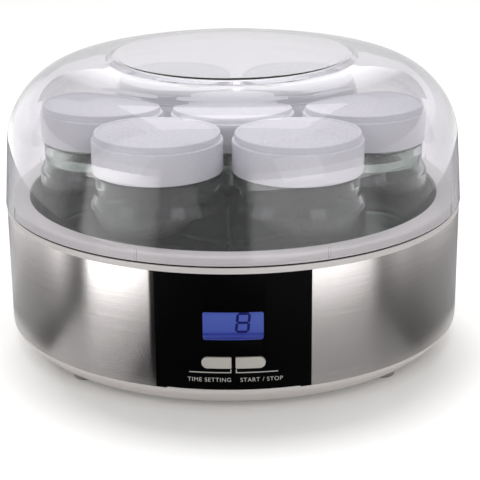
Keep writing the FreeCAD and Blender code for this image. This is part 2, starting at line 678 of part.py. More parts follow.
def make_feet():
    """Four rubber feet in the recesses of the pan."""
    for number_of_foot, name in enumerate(("rear_right", "rear_left", "front_left", "front_right")):
        body = new_body("foot_" + name)
        height = "pan_base + foot_recess"
        revolve(body, "foot_profile_" + name, [
            ("0", "0"),
            ("foot_radius - foot_bevel", "0"),
            ("foot_radius", "foot_bevel"),
            ("foot_radius", height),
            ("0", height),
        ])
        x, y = polar("foot_circle", "45 + 90 * %d" % number_of_foot)
        place(body, x, y)


def make_control_panel():
    """Curved control panel with its window and button openings and a notch for the pan's lip."""
    body = new_body("control_panel")
    low = "band_bottom + panel_gap"
    high = "band_top - panel_gap"
    revolve(body, "panel_sheet", [
        ("-body_radius", low),
        ("-" + panel_back, low),
        ("-" + panel_back, high),
        ("-body_radius", high),
    ], "2 * panel_angle", "YZ_Plane")
    notch_top = "band_bottom + tongue_height + tongue_gap"
    revolve(body, "panel_notch", [
        ("-" + in_front, "band_bottom"),
        ("-wall_inside", "band_bottom"),
        ("-wall_inside", notch_top),
        ("-" + in_front, notch_top),
    ], "2 * (tongue_angle + panel_slot - panel_angle)", "YZ_Plane", "Groove")
    openings = new_sketch(body, "panel_openings", "XZ_Plane", in_front)
    add_box(openings, "-window_width / 2", "window_width / 2",
            "window_level - window_height / 2", "window_level + window_height / 2")
    for side in ("-", "+"):
        button_outline(openings, side, "button_gap")
    extrude(body, "panel_openings", openings, "%s - board_front" % in_front, kind="Pocket")


def make_display():
    """Display window in the panel, display behind it and its backlight on the board."""
    width = "window_width - 2 * lens_gap"
    height = "window_height - 2 * lens_gap"
    outside = cylinder("lens_outside", "body_radius - window_sink", "band_top")
    inside = cylinder("lens_inside", panel_back, "band_top")
    sheet_part = boolean("lens_sheet", "Cut", outside, inside)
    depth = "%s - board_front" % in_front
    block = box("lens_block", "0", "-(%s + board_front) / 2" % in_front,
                "window_level - (%s) / 2" % height, width, depth, height)
    keep(boolean("display_window", "Common", sheet_part, block), "display_window")
    low = "window_level - display_height / 2"
    middle = "-(%s + %s) / 2" % (display_face, display_back)
    keep(box("display", "0", middle, low,
             "display_width", "display_thickness", "display_height"), "display")
    depth = "%s - board_front" % display_back
    middle = "-(%s + board_front) / 2" % display_back
    keep(box("backlight", "0", middle, low, "display_width", depth, "display_height"), "display_backlight")


def make_buttons():
    """Two push buttons with their lips, and the switches behind them."""
    bodies = {"-": "timer", "+": "start"}
    switches = []
    for side, name in bodies.items():
        body = new_body(name + "_button")
        cap = new_sketch(body, name + "_cap", "XZ_Plane", button_back)
        button_outline(cap, side, "0")
        extrude(body, name + "_cap", cap, "%s - %s" % (in_front, button_back))
        face = "body_radius + button_proud"
        revolve(body, name + "_face", [
            ("-(%s)" % face, "band_bottom"),
            ("-(%s + button_height)" % face, "band_bottom"),
            ("-(%s + button_height)" % face, "band_top"),
            ("-(%s)" % face, "band_top"),
        ], "2 * panel_angle", "YZ_Plane", "Groove")
        lip = new_sketch(body, name + "_lip", "XZ_Plane", button_back)
        rise = "(button_height / 2 + button_lip)"
        ends = (side + button_inner, "%s (%s + button_lip)" % (side, button_outer))
        left, right = ends if side == "+" else ends[::-1]
        add_box(lip, left, right, "button_level - " + rise, "button_level + " + rise)
        extrude(body, name + "_lip", lip, "button_plate", True)
        middle = "%s (%s + %s) / 2" % (side, button_inner, button_outer)
        end = "(board_front + switch_height)"
        plunger = cylinder(name + "_plunger", "plunger_radius", "%s - %s + plunger_hold" % (lip_back, end),
                           middle, "-" + lip_back, "button_level", "y")
        keep(plunger, name + "_plunger")
        case = box(name + "_case", middle, "-(board_front + switch_height / 2)",
                   "button_level - switch_side / 2", "switch_side", "switch_height", "switch_side")
        depth = "plunger_hold + button_travel + plunger_gap"
        bore = cylinder(name + "_bore", "plunger_radius + plunger_gap", depth,
                        middle, "-" + end, "button_level", "y")
        switches.append(boolean(name + "_switch", "Cut", case, bore))
    group("button_switches", switches)


def make_control_board():
    """Upright board behind the panel, screwed to the posts of the housing."""
    body = new_body("control_board")
    outline = new_sketch(body, "board", "XZ_Plane", "board_front - board_thickness")
    add_box(outline, "-board_width / 2", "board_width / 2", "board_bottom", "board_top")
    for x, z in post_places:
        add_circle(outline, x, z, "bolt_radius + bolt_gap")
    extrude(body, "board", outline, "board_thickness")
    screws = []
    back = "board_front - board_thickness"
    for index, (x, z) in enumerate(post_places):
        name = "board_screw_%d" % index
        head = cylinder(name + "_head", "bolt_head", "bolt_height", x, "-(%s)" % back, z, "y")
        shank = cylinder(name + "_shank", "bolt_radius", "bolt_length",
                         x, "-(%s + bolt_length)" % back, z, "y")
        screws.append(boolean(name, "Fuse", head, shank))
    group("board_screws", screws)


def make_warming_tub():
    """Warming tub hung by its flange under the ring, with studs for the heater below its floor."""
    body = new_body("warming_tub")
    outside = "(opening_radius + tub_wall)"
    foot = "(opening_radius - tub_draft)"
    flange = "(%s - flange_gap)" % ring_inside
    flange_low = "flange_top - flange_thickness"
    revolve(body, "tub_shell", [
        ("0", tub_underside),
        (foot + " + tub_wall", tub_underside),
        (outside, flange_low),
        (flange, flange_low),
        (flange, "flange_top"),
        (outside, "flange_top"),
        (outside, ring_underside),
        ("opening_radius", ring_underside),
        (foot, "tub_floor"),
        ("0", "tub_floor"),
    ])
    round_rings(body, "tub_inside", [(foot, "tub_floor")], "tub_round")
    round_rings(body, "tub_outside", [(foot + " + tub_wall", tub_underside)], "tub_round + tub_wall")
    hole_sketch = new_sketch(body, "flange_hole", "XY_Plane", "flange_top")
    add_circle(hole_sketch, "boss_circle", "0", "bolt_radius + bolt_gap")
    hole = extrude(body, "flange_hole", hole_sketch, "flange_thickness", kind="Pocket")
    repeat(body, "flange_holes", [hole], "flange_screws")
    stud_sketch = new_sketch(body, "stud", "XY_Plane", felt_underside)
    stud_x, stud_y = polar("stud_circle", "180 / stud_count")
    add_circle(stud_sketch, stud_x, stud_y, "stud_radius")
    stud = extrude(body, "stud", stud_sketch, "%s - %s" % (tub_underside, felt_underside))
    bore_sketch = new_sketch(body, "stud_bore", "XY_Plane", felt_underside)
    add_circle(bore_sketch, stud_x, stud_y, "bolt_radius + bolt_gap")
    bore = extrude(body, "stud_bore", bore_sketch, "clamp_length + bolt_gap", True, "Pocket")
    repeat(body, "studs", [stud, bore], "stud_count")


def make_heater():
    """Heat spreader, foil heater and felt clamped under the tub, with sensor and fuse."""
    layers = [
        ("heat_spreader", "plate_radius", plate_underside, "plate_thickness", False),
        ("foil_heater", "foil_radius", foil_underside, "foil_thickness", True),
        ("insulating_felt", "felt_radius", felt_underside, "felt_thickness", True),
    ]
    for label, radius, level, thickness, pierced in layers:
        body = new_body(label)
        outline = new_sketch(body, label + "_disc", "XY_Plane", level)
        add_circle(outline, "0", "0", radius)
        for index in range(round(number("stud_count"))):
            x, y = polar("stud_circle", "(180 + 360 * %d) / stud_count" % index)
            add_circle(outline, x, y, "stud_radius + stud_gap")
        if pierced:
            add_circle(outline, "0", "0", "sensor_radius + sensor_gap")
        extrude(body, label + "_disc", outline, thickness)
    body = new_body("temperature_sensor")
    revolve(body, "sensor_profile", [
        ("0", "%s - sensor_length" % plate_underside),
        ("sensor_radius", "%s - sensor_length" % plate_underside),
        ("sensor_radius", "%s - sensor_rim" % felt_underside),
        ("sensor_flange", "%s - sensor_rim" % felt_underside),
        ("sensor_flange", felt_underside),
        ("sensor_radius", felt_underside),
        ("sensor_radius", plate_underside),
        ("0", plate_underside),
    ])
    fuse = cylinder("thermal_fuse", "fuse_radius", "fuse_length", "fuse_offset", "0",
                    "%s - fuse_radius - bolt_gap" % felt_underside, "x")
    keep(fuse, "thermal_fuse")


def make_screw_groups():
    """Closing screws of the pan, flange screws of the tub and clamp screws of the heater."""
    closing = []
    for index in range(3):
        x, y = polar("tower_circle", "120 * %d" % index)
        closing.append(upward_screw("closing_%d" % index, x, y, "(pan_base + closing_depth)",
                                    "closing_recess - foot_gap", "bolt_height",
                                    "closing_bore - bolt_gap", "closing_length"))
    group("closing_screws", closing)
    flange = []
    for index in range(round(number("flange_screws"))):
        x, y = polar("boss_circle", "360 * %d / flange_screws" % index)
        flange.append(upward_screw("flange_%d" % index, x, y, "(flange_top - flange_thickness)",
                                   "bolt_head", "bolt_height", "bolt_radius", "flange_bolt"))
    group("tub_screws", flange)
    clamps = []
    for index in range(round(number("stud_count"))):
        x, y = polar("stud_circle", "(180 + 360 * %d) / stud_count" % index)
        clamps.append(upward_screw("clamp_%d" % index, x, y, felt_underside,
                                   "clamp_head", "clamp_height", "bolt_radius", "clamp_length"))
    group("heater_clamps", clamps)


def make_power_supply():
    """Power board on the pan with its transformer, relay, capacitor and terminal block."""
    body = new_body("power_board")
    outline = new_sketch(body, "supply_outline", "XY_Plane", "supply_level")
    add_box(outline, "-supply_width / 2", "supply_width / 2",
            "supply_centre - supply_depth / 2", "supply_centre + supply_depth / 2")
    for x, y in supply_places:
        add_circle(outline, x, y, "bolt_radius + bolt_gap")
    extrude(body, "supply_sheet", outline, "supply_thickness")
    screws = []
    for index, (x, y) in enumerate(supply_places):
        name = "supply_screw_%d" % index
        head = cylinder(name + "_head", "bolt_head", "bolt_height", x, y, supply_top)
        shank = cylinder(name + "_shank", "bolt_radius", "bolt_length", x, y, supply_top + " - bolt_length")
        screws.append(boolean(name, "Fuse", head, shank))
    group("supply_screws", screws)
    left = "-supply_width / 4"
    core = box("core", left, "supply_centre", supply_top, "core_width", "core_depth", "core_height")
    coil_level = supply_top + " + (core_height - coil_height) / 2"
    coil = box("coil", left, "supply_centre", coil_level, "coil_width", "coil_depth", "coil_height")
    keep(boolean("transformer", "Fuse", core, coil), "transformer")
    right = "supply_width / 5"
    relay_middle = "supply_centre - supply_depth / 5"
    keep(box("relay", right, relay_middle, supply_top,
             "relay_width", "relay_depth", "relay_height"), "relay")
    keep(cylinder("capacitor", "capacitor_radius", "capacitor_height", "2 * supply_width / 5",
                  "supply_centre", supply_top), "capacitor")
    block_middle = "supply_centre + supply_depth / 4"
    block = box("terminal_case", right, block_middle, supply_top,
                "terminal_width", "terminal_depth", "terminal_height")
    for index in (-1, 0, 1):
        entry = cylinder("terminal_entry_%d" % (index + 1), "terminal_bore", "terminal_depth / 2",
                         right + " + %d * terminal_width * 0.3" % index, block_middle,
                         supply_top + " + terminal_height / 2", "y")
        block = boolean("terminal_%d" % (index + 1), "Cut", block, entry)
    keep(block, "terminal_block")


def make_cord_gland():
    """Cord gland at the rear: a plate in the wall's slot, a barrel through the band and a collar inside."""
    body = new_body("cord_gland")
    revolve(body, "gland_plate", [
        ("wall_inside", "band_bottom"),
        (wall_outside, "band_bottom"),
        (wall_outside, "gland_level + inlet_rise"),
        ("wall_inside", "gland_level + inlet_rise"),
    ], "2 * inlet_angle", "YZ_Plane")
    barrel_end = "(body_radius + gland_proud)"
    collar_face = "(sqrt(wall_inside ^ 2 - gland_nut ^ 2) - gland_gap)"
    collar = new_sketch(body, "gland_collar", "XZ_Plane", "-" + collar_face)
    add_circle(collar, "0", "gland_level", "gland_nut")
    extrude(body, "gland_collar", collar, "gland_length")
    barrel = new_sketch(body, "gland_barrel", "XZ_Plane", "-" + barrel_end)
    add_circle(barrel, "0", "gland_level", "gland_radius")
    extrude(body, "gland_barrel", barrel, "%s - %s" % (barrel_end, collar_face))
    bore = new_sketch(body, "gland_hold", "XZ_Plane", "-" + barrel_end)
    add_circle(bore, "0", "gland_level", "gland_bore")
    bore_depth = "%s - %s + gland_length" % (barrel_end, collar_face)
    extrude(body, "gland_hold", bore, bore_depth, True, "Pocket")
    mouth = new_sketch(body, "gland_mouth", "XZ_Plane", "-" + barrel_end)
    add_circle(mouth, "0", "gland_level", "gland_mouth")
    extrude(body, "gland_mouth", mouth, bore_depth + " - gland_hold", True, "Pocket")


def make_cover():
    """Clear cover: drafted wall, round shoulder, raised disc and locating ribs, shelled from below."""
    body = new_body("clear_cover")
    revolve(body, "cover_form", [
        ("0", "cover_seat"),
        ("cover_radius", "cover_seat"),
        ("cover_corner_radius", "cover_corner_height"),
        ("cover_foot_radius", "cover_foot_height"),
        ("cover_disc_radius", "cover_top"),
        ("0", "cover_top"),
    ])
    corner = [("cover_corner_radius", "cover_corner_height")]
    round_rings(body, "cover_shoulder", corner, "cover_shoulder")
    form = body.Tip
    heights = [face.CenterOfMass.z for face in form.Shape.Faces]
    underside = "Face%d" % (heights.index(min(heights)) + 1)
    shell = body.newObject("PartDesign::Thickness", "cover_shell")
    shell.Base = (form, [underside])
    shell.Reversed = True
    bind(shell, Value="cover_wall")
    finish(body, shell)
    disc_rings = [("cover_disc_radius", "cover_top"), ("cover_foot_radius", "cover_foot_height")]
    round_rings(body, "cover_disc", disc_rings, "cover_disc_round")
    rib_sketch = new_sketch(body, "cover_rib", "XY_Plane", "cover_seat")
    rib_turn = "180 / cover_ribs"
    rib_inner = "upstand_radius + cover_rib_gap"
    rib_outer = "cover_radius - cover_wall / 2"
    add_loop(rib_sketch, [
        polar(rib_inner, rib_turn, "-cover_rib_width / 2"),
        polar(rib_outer, rib_turn, "-cover_rib_width / 2"),
        polar(rib_outer, rib_turn, "cover_rib_width / 2"),
        polar(rib_inner, rib_turn, "cover_rib_width / 2"),
    ])
    rib = extrude(body, "cover_rib", rib_sketch, "cover_rib_height")
    repeat(body, "cover_rib_ring", [rib], "cover_ribs")


def make_jar(label, x, y):
    """Glass jar: rounded heel, straight body, shoulder, collar and screw neck."""
    body = new_body(label)
    inside = "(jar_radius - jar_wall)"
    revolve(body, label + "_glass", [
        ("0", "jar_rise"),
        ("jar_foot", "jar_rise"),
        ("jar_foot + jar_rise", "0"),
        ("jar_radius", "0"),
        ("jar_radius", "jar_shoulder"),
        ("collar_radius", "collar_low"),
        ("collar_radius", "collar_high"),
        ("finish_radius", "collar_high"),
        ("finish_radius", "jar_height"),
        ("mouth_radius", "jar_height"),
        ("mouth_radius", "mouth_low"),
        (inside, "jar_shoulder"),
        (inside, "jar_floor"),
        ("0", "jar_floor"),
    ])
    round_rings(body, label + "_heel", [("jar_radius", "0")], "jar_heel")
    round_rings(body, label + "_shoulder", [("jar_radius", "jar_shoulder")], "jar_shoulder_round")
    round_rings(body, label + "_inside", [(inside, "jar_floor")], "jar_inner_round")
    place(body, x, y, "tub_floor")


def make_jar_lid(label, x, y):
    """Screw lid: skirt, ledge and dished top, seated on the jar's mouth."""
    body = new_body(label)
    inside = "(lid_radius - lid_wall)"
    rim = "(lid_top_radius - lid_rim)"
    revolve(body, label + "_shell", [
        ("0", "lid_inside"),
        ("lid_guide", "lid_inside"),
        ("lid_guide", "lid_guide_low"),
        (inside, "lid_guide_low - (%s - lid_guide)" % inside),
        (inside, "0"),
        ("lid_radius", "0"),
        ("lid_radius", "lid_ledge"),
        ("lid_top_radius", "lid_ledge"),
        ("lid_top_radius", "lid_height"),
        (rim, "lid_height"),
        (rim + " - lid_bevel", "lid_height - lid_dish"),
        ("0", "lid_height - lid_dish"),
    ])
    edges = [("lid_radius", "lid_ledge"), ("lid_top_radius", "lid_height")]
    round_rings(body, label + "_rounds", edges, "lid_round")
    place(body, x, y, "tub_floor + jar_height - lid_inside")


def make_jars():
    """Six jars in a circle and one in the middle, each with its lid."""
    for index in range(1, 8):
        x, y = polar("jar_pitch", "jar_turn + 60 * %d" % (index - 1))
        if index == 7:
            x, y = "0", "0"
        make_jar("jar_%d" % index, x, y)
        make_jar_lid("jar_lid_%d" % index, x, y)


make_upper_housing()
make_steel_band()
make_bottom_pan()
make_feet()
make_control_panel()
make_display()
make_buttons()
make_control_board()
make_warming_tub()
make_heater()
make_screw_groups()
make_power_supply()
make_cord_gland()
make_cover()
make_jars()
doc.recompute()

failed = [item.Label for item in doc.Objects if "Invalid" in item.State or "Error" in item.State]
for item in sub_parts:
    if item.Shape.isNull() or not item.Shape.isValid() or not item.Shape.Solids:
        failed.append(item.Label)
if failed:
    raise RuntimeError("did not build: " + ", ".join(failed))

os.makedirs("parts", exist_ok=True)
for item in sub_parts:
    item.Shape.exportStep("parts/%s.step" % item.Label)
    print("%-20s %9.0f mm3 %d" % (item.Label, item.Shape.Volume, len(item.Shape.Solids)))
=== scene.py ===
import math

import bpy
from mathutils import Matrix, Vector


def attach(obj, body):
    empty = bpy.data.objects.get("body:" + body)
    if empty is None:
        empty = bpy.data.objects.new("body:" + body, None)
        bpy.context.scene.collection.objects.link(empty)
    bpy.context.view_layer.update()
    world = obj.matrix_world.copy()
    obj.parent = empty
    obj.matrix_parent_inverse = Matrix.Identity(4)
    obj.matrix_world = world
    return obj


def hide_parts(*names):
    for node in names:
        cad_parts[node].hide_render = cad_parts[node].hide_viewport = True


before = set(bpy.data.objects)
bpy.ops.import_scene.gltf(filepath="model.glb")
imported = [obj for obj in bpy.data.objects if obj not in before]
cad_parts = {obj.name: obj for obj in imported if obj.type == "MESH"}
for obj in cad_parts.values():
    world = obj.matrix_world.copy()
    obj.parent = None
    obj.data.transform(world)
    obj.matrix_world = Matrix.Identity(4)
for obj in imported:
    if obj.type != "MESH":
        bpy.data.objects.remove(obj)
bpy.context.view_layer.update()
mm = 0.001
print("frame loaded,", len(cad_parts), "nodes")


# modelling in this script: outlines are drawn in the XZ plane in mm and spun about Z

def clearSelection():
    active = bpy.context.view_layer.objects.active
    if active and active.mode != "OBJECT":
        bpy.ops.object.mode_set(mode="OBJECT")
    bpy.ops.object.select_all(action="DESELECT")


def choose(piece):
    clearSelection()
    piece.select_set(True)
    bpy.context.view_layer.objects.active = piece


def pickPoints(piece, test):
    # in edit mode: selects the points whose place in mm passes the test
    bpy.ops.mesh.select_mode(type="VERT")
    bpy.ops.mesh.select_all(action="DESELECT")
    bpy.ops.object.mode_set(mode="OBJECT")
    for point in piece.data.vertices:
        point.select = test(point.co / mm)
    bpy.ops.object.mode_set(mode="EDIT")


def drawOutline(name, corners, closed=False, segments=8):
    # corners are (radius, height) or (radius, height, round)
    clearSelection()
    bpy.ops.mesh.primitive_plane_add(size=2 * mm)
    piece = bpy.context.object
    piece.name = piece.data.name = name
    bpy.ops.object.mode_set(mode="EDIT")
    bpy.ops.mesh.select_all(action="SELECT")
    bpy.ops.mesh.merge(type="CENTER")
    spots = [Vector((corner[0], 0, corner[1])) for corner in corners]
    bpy.ops.transform.translate(value=spots[0] * mm)
    path = spots + spots[:1] if closed else spots
    for here, there in zip(path, path[1:]):
        bpy.ops.mesh.extrude_vertices_move(TRANSFORM_OT_translate={"value": (there - here) * mm})
    bpy.ops.mesh.select_all(action="SELECT")
    bpy.ops.mesh.remove_doubles(threshold=0.001 * mm)
    for index, corner in enumerate(corners):
        if len(corner) == 3:
            before = spots[index] - spots[index - 1]
            after = spots[(index + 1) % len(spots)] - spots[index]
            reach = corner[2] * math.tan(before.angle(after) / 2)
            spot = spots[index]
            pickPoints(piece, lambda place: (place - spot).length < 0.01)
            bpy.ops.mesh.bevel(offset=reach * mm, segments=segments, affect="VERTICES", clamp_overlap=False)
    return piece


def spinPiece(piece, steps, sweep=360.0):
    # turns the outline about Z, then closes its ends and turns its faces outwards
    bpy.ops.mesh.select_all(action="SELECT")
    bpy.ops.mesh.spin(steps=steps, angle=math.radians(sweep), center=(0, 0, 0), axis=(0, 0, 1))
    bpy.ops.mesh.select_all(action="SELECT")
    bpy.ops.mesh.remove_doubles(threshold=0.002 * mm)
    if sweep < 360:
        bpy.ops.mesh.select_all(action="SELECT")
        bpy.ops.mesh.fill_holes(sides=0)
    bpy.ops.mesh.select_all(action="SELECT")
    bpy.ops.mesh.normals_make_consistent(inside=False)
    bpy.ops.object.mode_set(mode="OBJECT")
    return piece


def pushBack(form, front, back):
    # in edit mode: moves the drawn outline to the front, fills it and gives it depth along +Y
    bpy.ops.mesh.select_all(action="SELECT")
    bpy.ops.transform.translate(value=(0, -front * mm, 0))
    bpy.ops.mesh.edge_face_add()
    bpy.ops.mesh.extrude_region_move(TRANSFORM_OT_translate={"value": (0, (front - back) * mm, 0)})
    bpy.ops.mesh.select_all(action="SELECT")
    bpy.ops.mesh.remove_doubles(threshold=0.001 * mm)
    bpy.ops.mesh.normals_make_consistent(inside=False)
    bpy.ops.object.mode_set(mode="OBJECT")
    return form


def sector(name, corners, middle, half, steps):
    # a closed outline spun over the part of a circle around the middle angle
    piece = spinPiece(drawOutline(name, corners, closed=True), steps, 2 * half)
    piece.rotation_euler.z = math.radians(middle + half)  # spin runs clockwise
    choose(piece)
    bpy.ops.object.transform_apply(location=True, rotation=True, scale=True)
    return piece


def block(name, low, high):
    clearSelection()
    low, high = Vector(low) * mm, Vector(high) * mm
    bpy.ops.mesh.primitive_cube_add(size=1, location=(low + high) / 2, scale=high - low)
    bpy.ops.object.transform_apply(location=True, rotation=True, scale=True)
    bpy.context.object.name = name
    return bpy.context.object


def onCircle(radius, degrees, height=0.0):
    turn = math.radians(degrees)
    return radius * math.cos(turn), radius * math.sin(turn), height


rodSides = 48


def rod(name, radius, foot, length, axis="Z"):
    clearSelection()
    turn = {"Z": (0, 0, 0), "Y": (-math.pi / 2, 0, 0)}[axis]
    way = {"Z": Vector((0, 0, 1)), "Y": Vector((0, 1, 0))}[axis]
    bpy.ops.mesh.primitive_cylinder_add(
        vertices=rodSides, radius=radius * mm, depth=length * mm, rotation=turn,
        location=(Vector(foot) + way * length / 2) * mm)
    bpy.ops.object.transform_apply(location=True, rotation=True, scale=True)
    bpy.context.object.name = name
    return bpy.context.object


def joinPieces(pieces, name):
    clearSelection()
    for piece in pieces:
        piece.select_set(True)
    bpy.context.view_layer.objects.active = pieces[0]
    bpy.ops.object.join()
    pieces[0].name = pieces[0].data.name = name
    return pieces[0]


def useModifier(piece, kind, **settings):
    choose(piece)
    modifier = piece.modifiers.new(kind.lower(), kind)
    for key, value in settings.items():
        setattr(modifier, key, value)
    bpy.ops.object.modifier_apply(modifier=modifier.name)


def carve(piece, tool, operation="DIFFERENCE"):
    useModifier(piece, "BOOLEAN", operation=operation, object=tool, solver="EXACT")
    bpy.data.objects.remove(tool)


def softenEdges(piece, width, segments, angle):
    useModifier(piece, "BEVEL", width=width * mm, segments=segments, limit_method="ANGLE",
                angle_limit=math.radians(angle), use_clamp_overlap=True)


def copyTo(piece, name, place):
    choose(piece)
    bpy.ops.object.duplicate(linked=False)
    other = bpy.context.object
    other.name = other.data.name = name
    other.location = Vector(place) * mm
    bpy.ops.object.transform_apply(location=True, rotation=True, scale=True)
    return other


def settle(piece, material, body, nodes, smooth=30):
    choose(piece)
    bpy.ops.object.shade_smooth_by_angle(angle=math.radians(smooth))
    piece.data.materials.clear()
    piece.data.materials.append(material)
    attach(piece, body)
    if nodes:
        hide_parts(*nodes)
    return piece


# materials

def linear(code):
    parts = [int(code[i:i + 2], 16) / 255 for i in (1, 3, 5)]
    return tuple(p / 12.92 if p <= 0.04045 else ((p + 0.055) / 1.055) ** 2.4 for p in parts) + (1.0,)


def addNode(tree, kind, sockets=None, **settings):
    node = tree.nodes.new(kind)
    for key, value in settings.items():
        setattr(node, key, value)
    for key, value in (sockets or {}).items():
        if isinstance(value, bpy.types.NodeSocket):
            tree.links.new(value, node.inputs[key])
        else:
            node.inputs[key].default_value = value
    return node


def newMaterial(name):
    material = bpy.data.materials.new(name)
    material.use_nodes = True
    tree = material.node_tree
    tree.nodes.clear()
    place = addNode(tree, "ShaderNodeTexCoord").outputs["Object"]
    return material, tree, place


def setStops(ramp, stops):
    # the first stop lies at 0 and the last at 1, as in a new ramp
    band = ramp.color_ramp
    band.elements[0].color = stops[0][1]
    band.elements[1].color = stops[-1][1]
    for spot, colour in stops[1:-1]:
        band.elements.new(spot).color = colour


def showShader(tree, shader):
    addNode(tree, "ShaderNodeOutputMaterial", {"Surface": shader.outputs[0]})


def mouldedPlastic(name, colour, shade, roughness, grain, depth, specular=0.5):
    # moulded plastic: even colour with a faint drift, a fine spark-eroded grain and satin gloss
    material, tree, place = newMaterial(name)
    drift = addNode(tree, "ShaderNodeTexNoise", {"Vector": place, "Scale": 1 / (60 * mm), "Detail": 2.0})
    tone = addNode(tree, "ShaderNodeMix", {
        "Factor": drift.outputs["Fac"], "A": linear(colour), "B": linear(shade)}, data_type="RGBA")
    skin = addNode(tree, "ShaderNodeTexNoise", {"Vector": place, "Scale": 1 / (grain * mm), "Detail": 3.0})
    gloss = addNode(tree, "ShaderNodeMapRange", {
        "Value": skin.outputs["Fac"], "To Min": roughness - 0.03, "To Max": roughness + 0.03})
    bump = addNode(tree, "ShaderNodeBump", {
        "Height": skin.outputs["Fac"], "Strength": 0.35, "Distance": depth * mm})
    showShader(tree, addNode(tree, "ShaderNodeBsdfPrincipled", {
        "Base Color": tone.outputs["Result"], "Roughness": gloss.outputs["Result"],
        "Normal": bump.outputs["Normal"], "Specular IOR Level": specular, "IOR": 1.5}))
    return material


def clearShader(tree, glass, letThrough):
    # lamps and bounced light pass straight, so what stands inside is lit evenly
    path = addNode(tree, "ShaderNodeLightPath")
    either = addNode(tree, "ShaderNodeMath", {
        0: path.outputs["Is Shadow Ray"], 1: path.outputs["Is Diffuse Ray"]}, operation="MAXIMUM")
    straight = addNode(tree, "ShaderNodeBsdfTransparent", {"Color": linear(letThrough)})
    return addNode(tree, "ShaderNodeMixShader", {
        0: either.outputs[0], 1: glass.outputs[0], 2: straight.outputs[0]})


def shownRays(tree):
    # 1 for what the camera sees, also in metal and through glass
    path = addNode(tree, "ShaderNodeLightPath")
    seen = addNode(tree, "ShaderNodeMath", {
        0: path.outputs["Is Camera Ray"], 1: path.outputs["Is Glossy Ray"]}, operation="MAXIMUM")
    shown = addNode(tree, "ShaderNodeMath", {
        0: seen.outputs[0], 1: path.outputs["Is Transmission Ray"]}, operation="MAXIMUM")
    return shown.outputs[0]


palePlastic = mouldedPlastic("satinAbsPale", "#EFEBEA", "#E9E5E3", 0.38, 0.8, 0.02)
panPlastic = mouldedPlastic("satinAbsPan", "#F0EAE8", "#EAE4E2", 0.38, 0.8, 0.02)
buttonPlastic = mouldedPlastic("satinAbsButton", "#D4D0C9", "#CDC9C2", 0.35, 0.7, 0.02)
lidPlastic = mouldedPlastic("whitePolypropyleneLid", "#EEEDF2", "#E9E8EE", 0.28, 0.9, 0.004)
footRubber = mouldedPlastic("greyNitrileRubber", "#A5A19B", "#98948E", 0.7, 0.6, 0.03, 0.3)
# black for the ring in the gap under the cover: painted shadow
shadowGapBlack = mouldedPlastic("paintedShadowGapBlack", "#0B0B0D", "#070708", 0.7, 0.5, 0.02, 0.1)
panelFilm = mouldedPlastic("blackPrintedFilm", "#040406", "#030304", 0.5, 0.6, 0.01, 0.03)
whitePrint = mouldedPlastic("whiteScreenPrint", "#D2D0CC", "#C6C4C0", 0.6, 0.4, 0.01, 0.3)
glandPlastic = mouldedPlastic("blackPolyamideGland", "#1E1E20", "#18181A", 0.45, 0.7, 0.02)
switchPlastic = mouldedPlastic("blackPhenolicSwitch", "#222226", "#1B1B1F", 0.5, 0.6, 0.02)
boardGreen = mouldedPlastic("greenSolderMask", "#1F5B34", "#184A2A", 0.4, 2.5, 0.03)
lightGuide = mouldedPlastic("milkyLightGuide", "#C9CDF0", "#BDC2EA", 0.3, 1.0, 0.01)
greyFelt = mouldedPlastic("pressedGlassFelt", "#B9B2A3", "#9C9588", 0.95, 1.2, 0.4, 0.1)
sleeveBlue = mouldedPlastic("shrinkSleeveBlue", "#23325E", "#1C294E", 0.4, 1.0, 0.01)
terminalNylon = mouldedPlastic("whiteNylonTerminal", "#D8D4C6", "#CCC8BA", 0.5, 0.8, 0.02)


def plainMetal(name, colour, shade, roughness, grain):
    # rolled or plated metal: fine cloudy wear in colour and gloss
    material, tree, place = newMaterial(name)
    cloud = addNode(tree, "ShaderNodeTexNoise", {"Vector": place, "Scale": 1 / (grain * mm), "Detail": 4.0})
    tone = addNode(tree, "ShaderNodeMix", {
        "Factor": cloud.outputs["Fac"], "A": linear(colour), "B": linear(shade)}, data_type="RGBA")
    gloss = addNode(tree, "ShaderNodeMapRange", {
        "Value": cloud.outputs["Fac"], "To Min": roughness - 0.08, "To Max": roughness + 0.08})
    showShader(tree, addNode(tree, "ShaderNodeBsdfPrincipled", {
        "Base Color": tone.outputs["Result"], "Metallic": 1.0, "Roughness": gloss.outputs["Result"]}))
    return material


screwSteel = plainMetal("zincPlatedSteel", "#C9C9C4", "#B4B4AE", 0.35, 1.5)
spreaderMetal = plainMetal("rolledAluminium", "#DADBDC", "#C8C9CB", 0.4, 6.0)
heaterFoil = plainMetal("etchedHeaterFoil", "#B98A5A", "#A87B4E", 0.4, 4.0)
laminatedIron = plainMetal("laminatedCoreSteel", "#77726C", "#5E5A55", 0.55, 2.0)


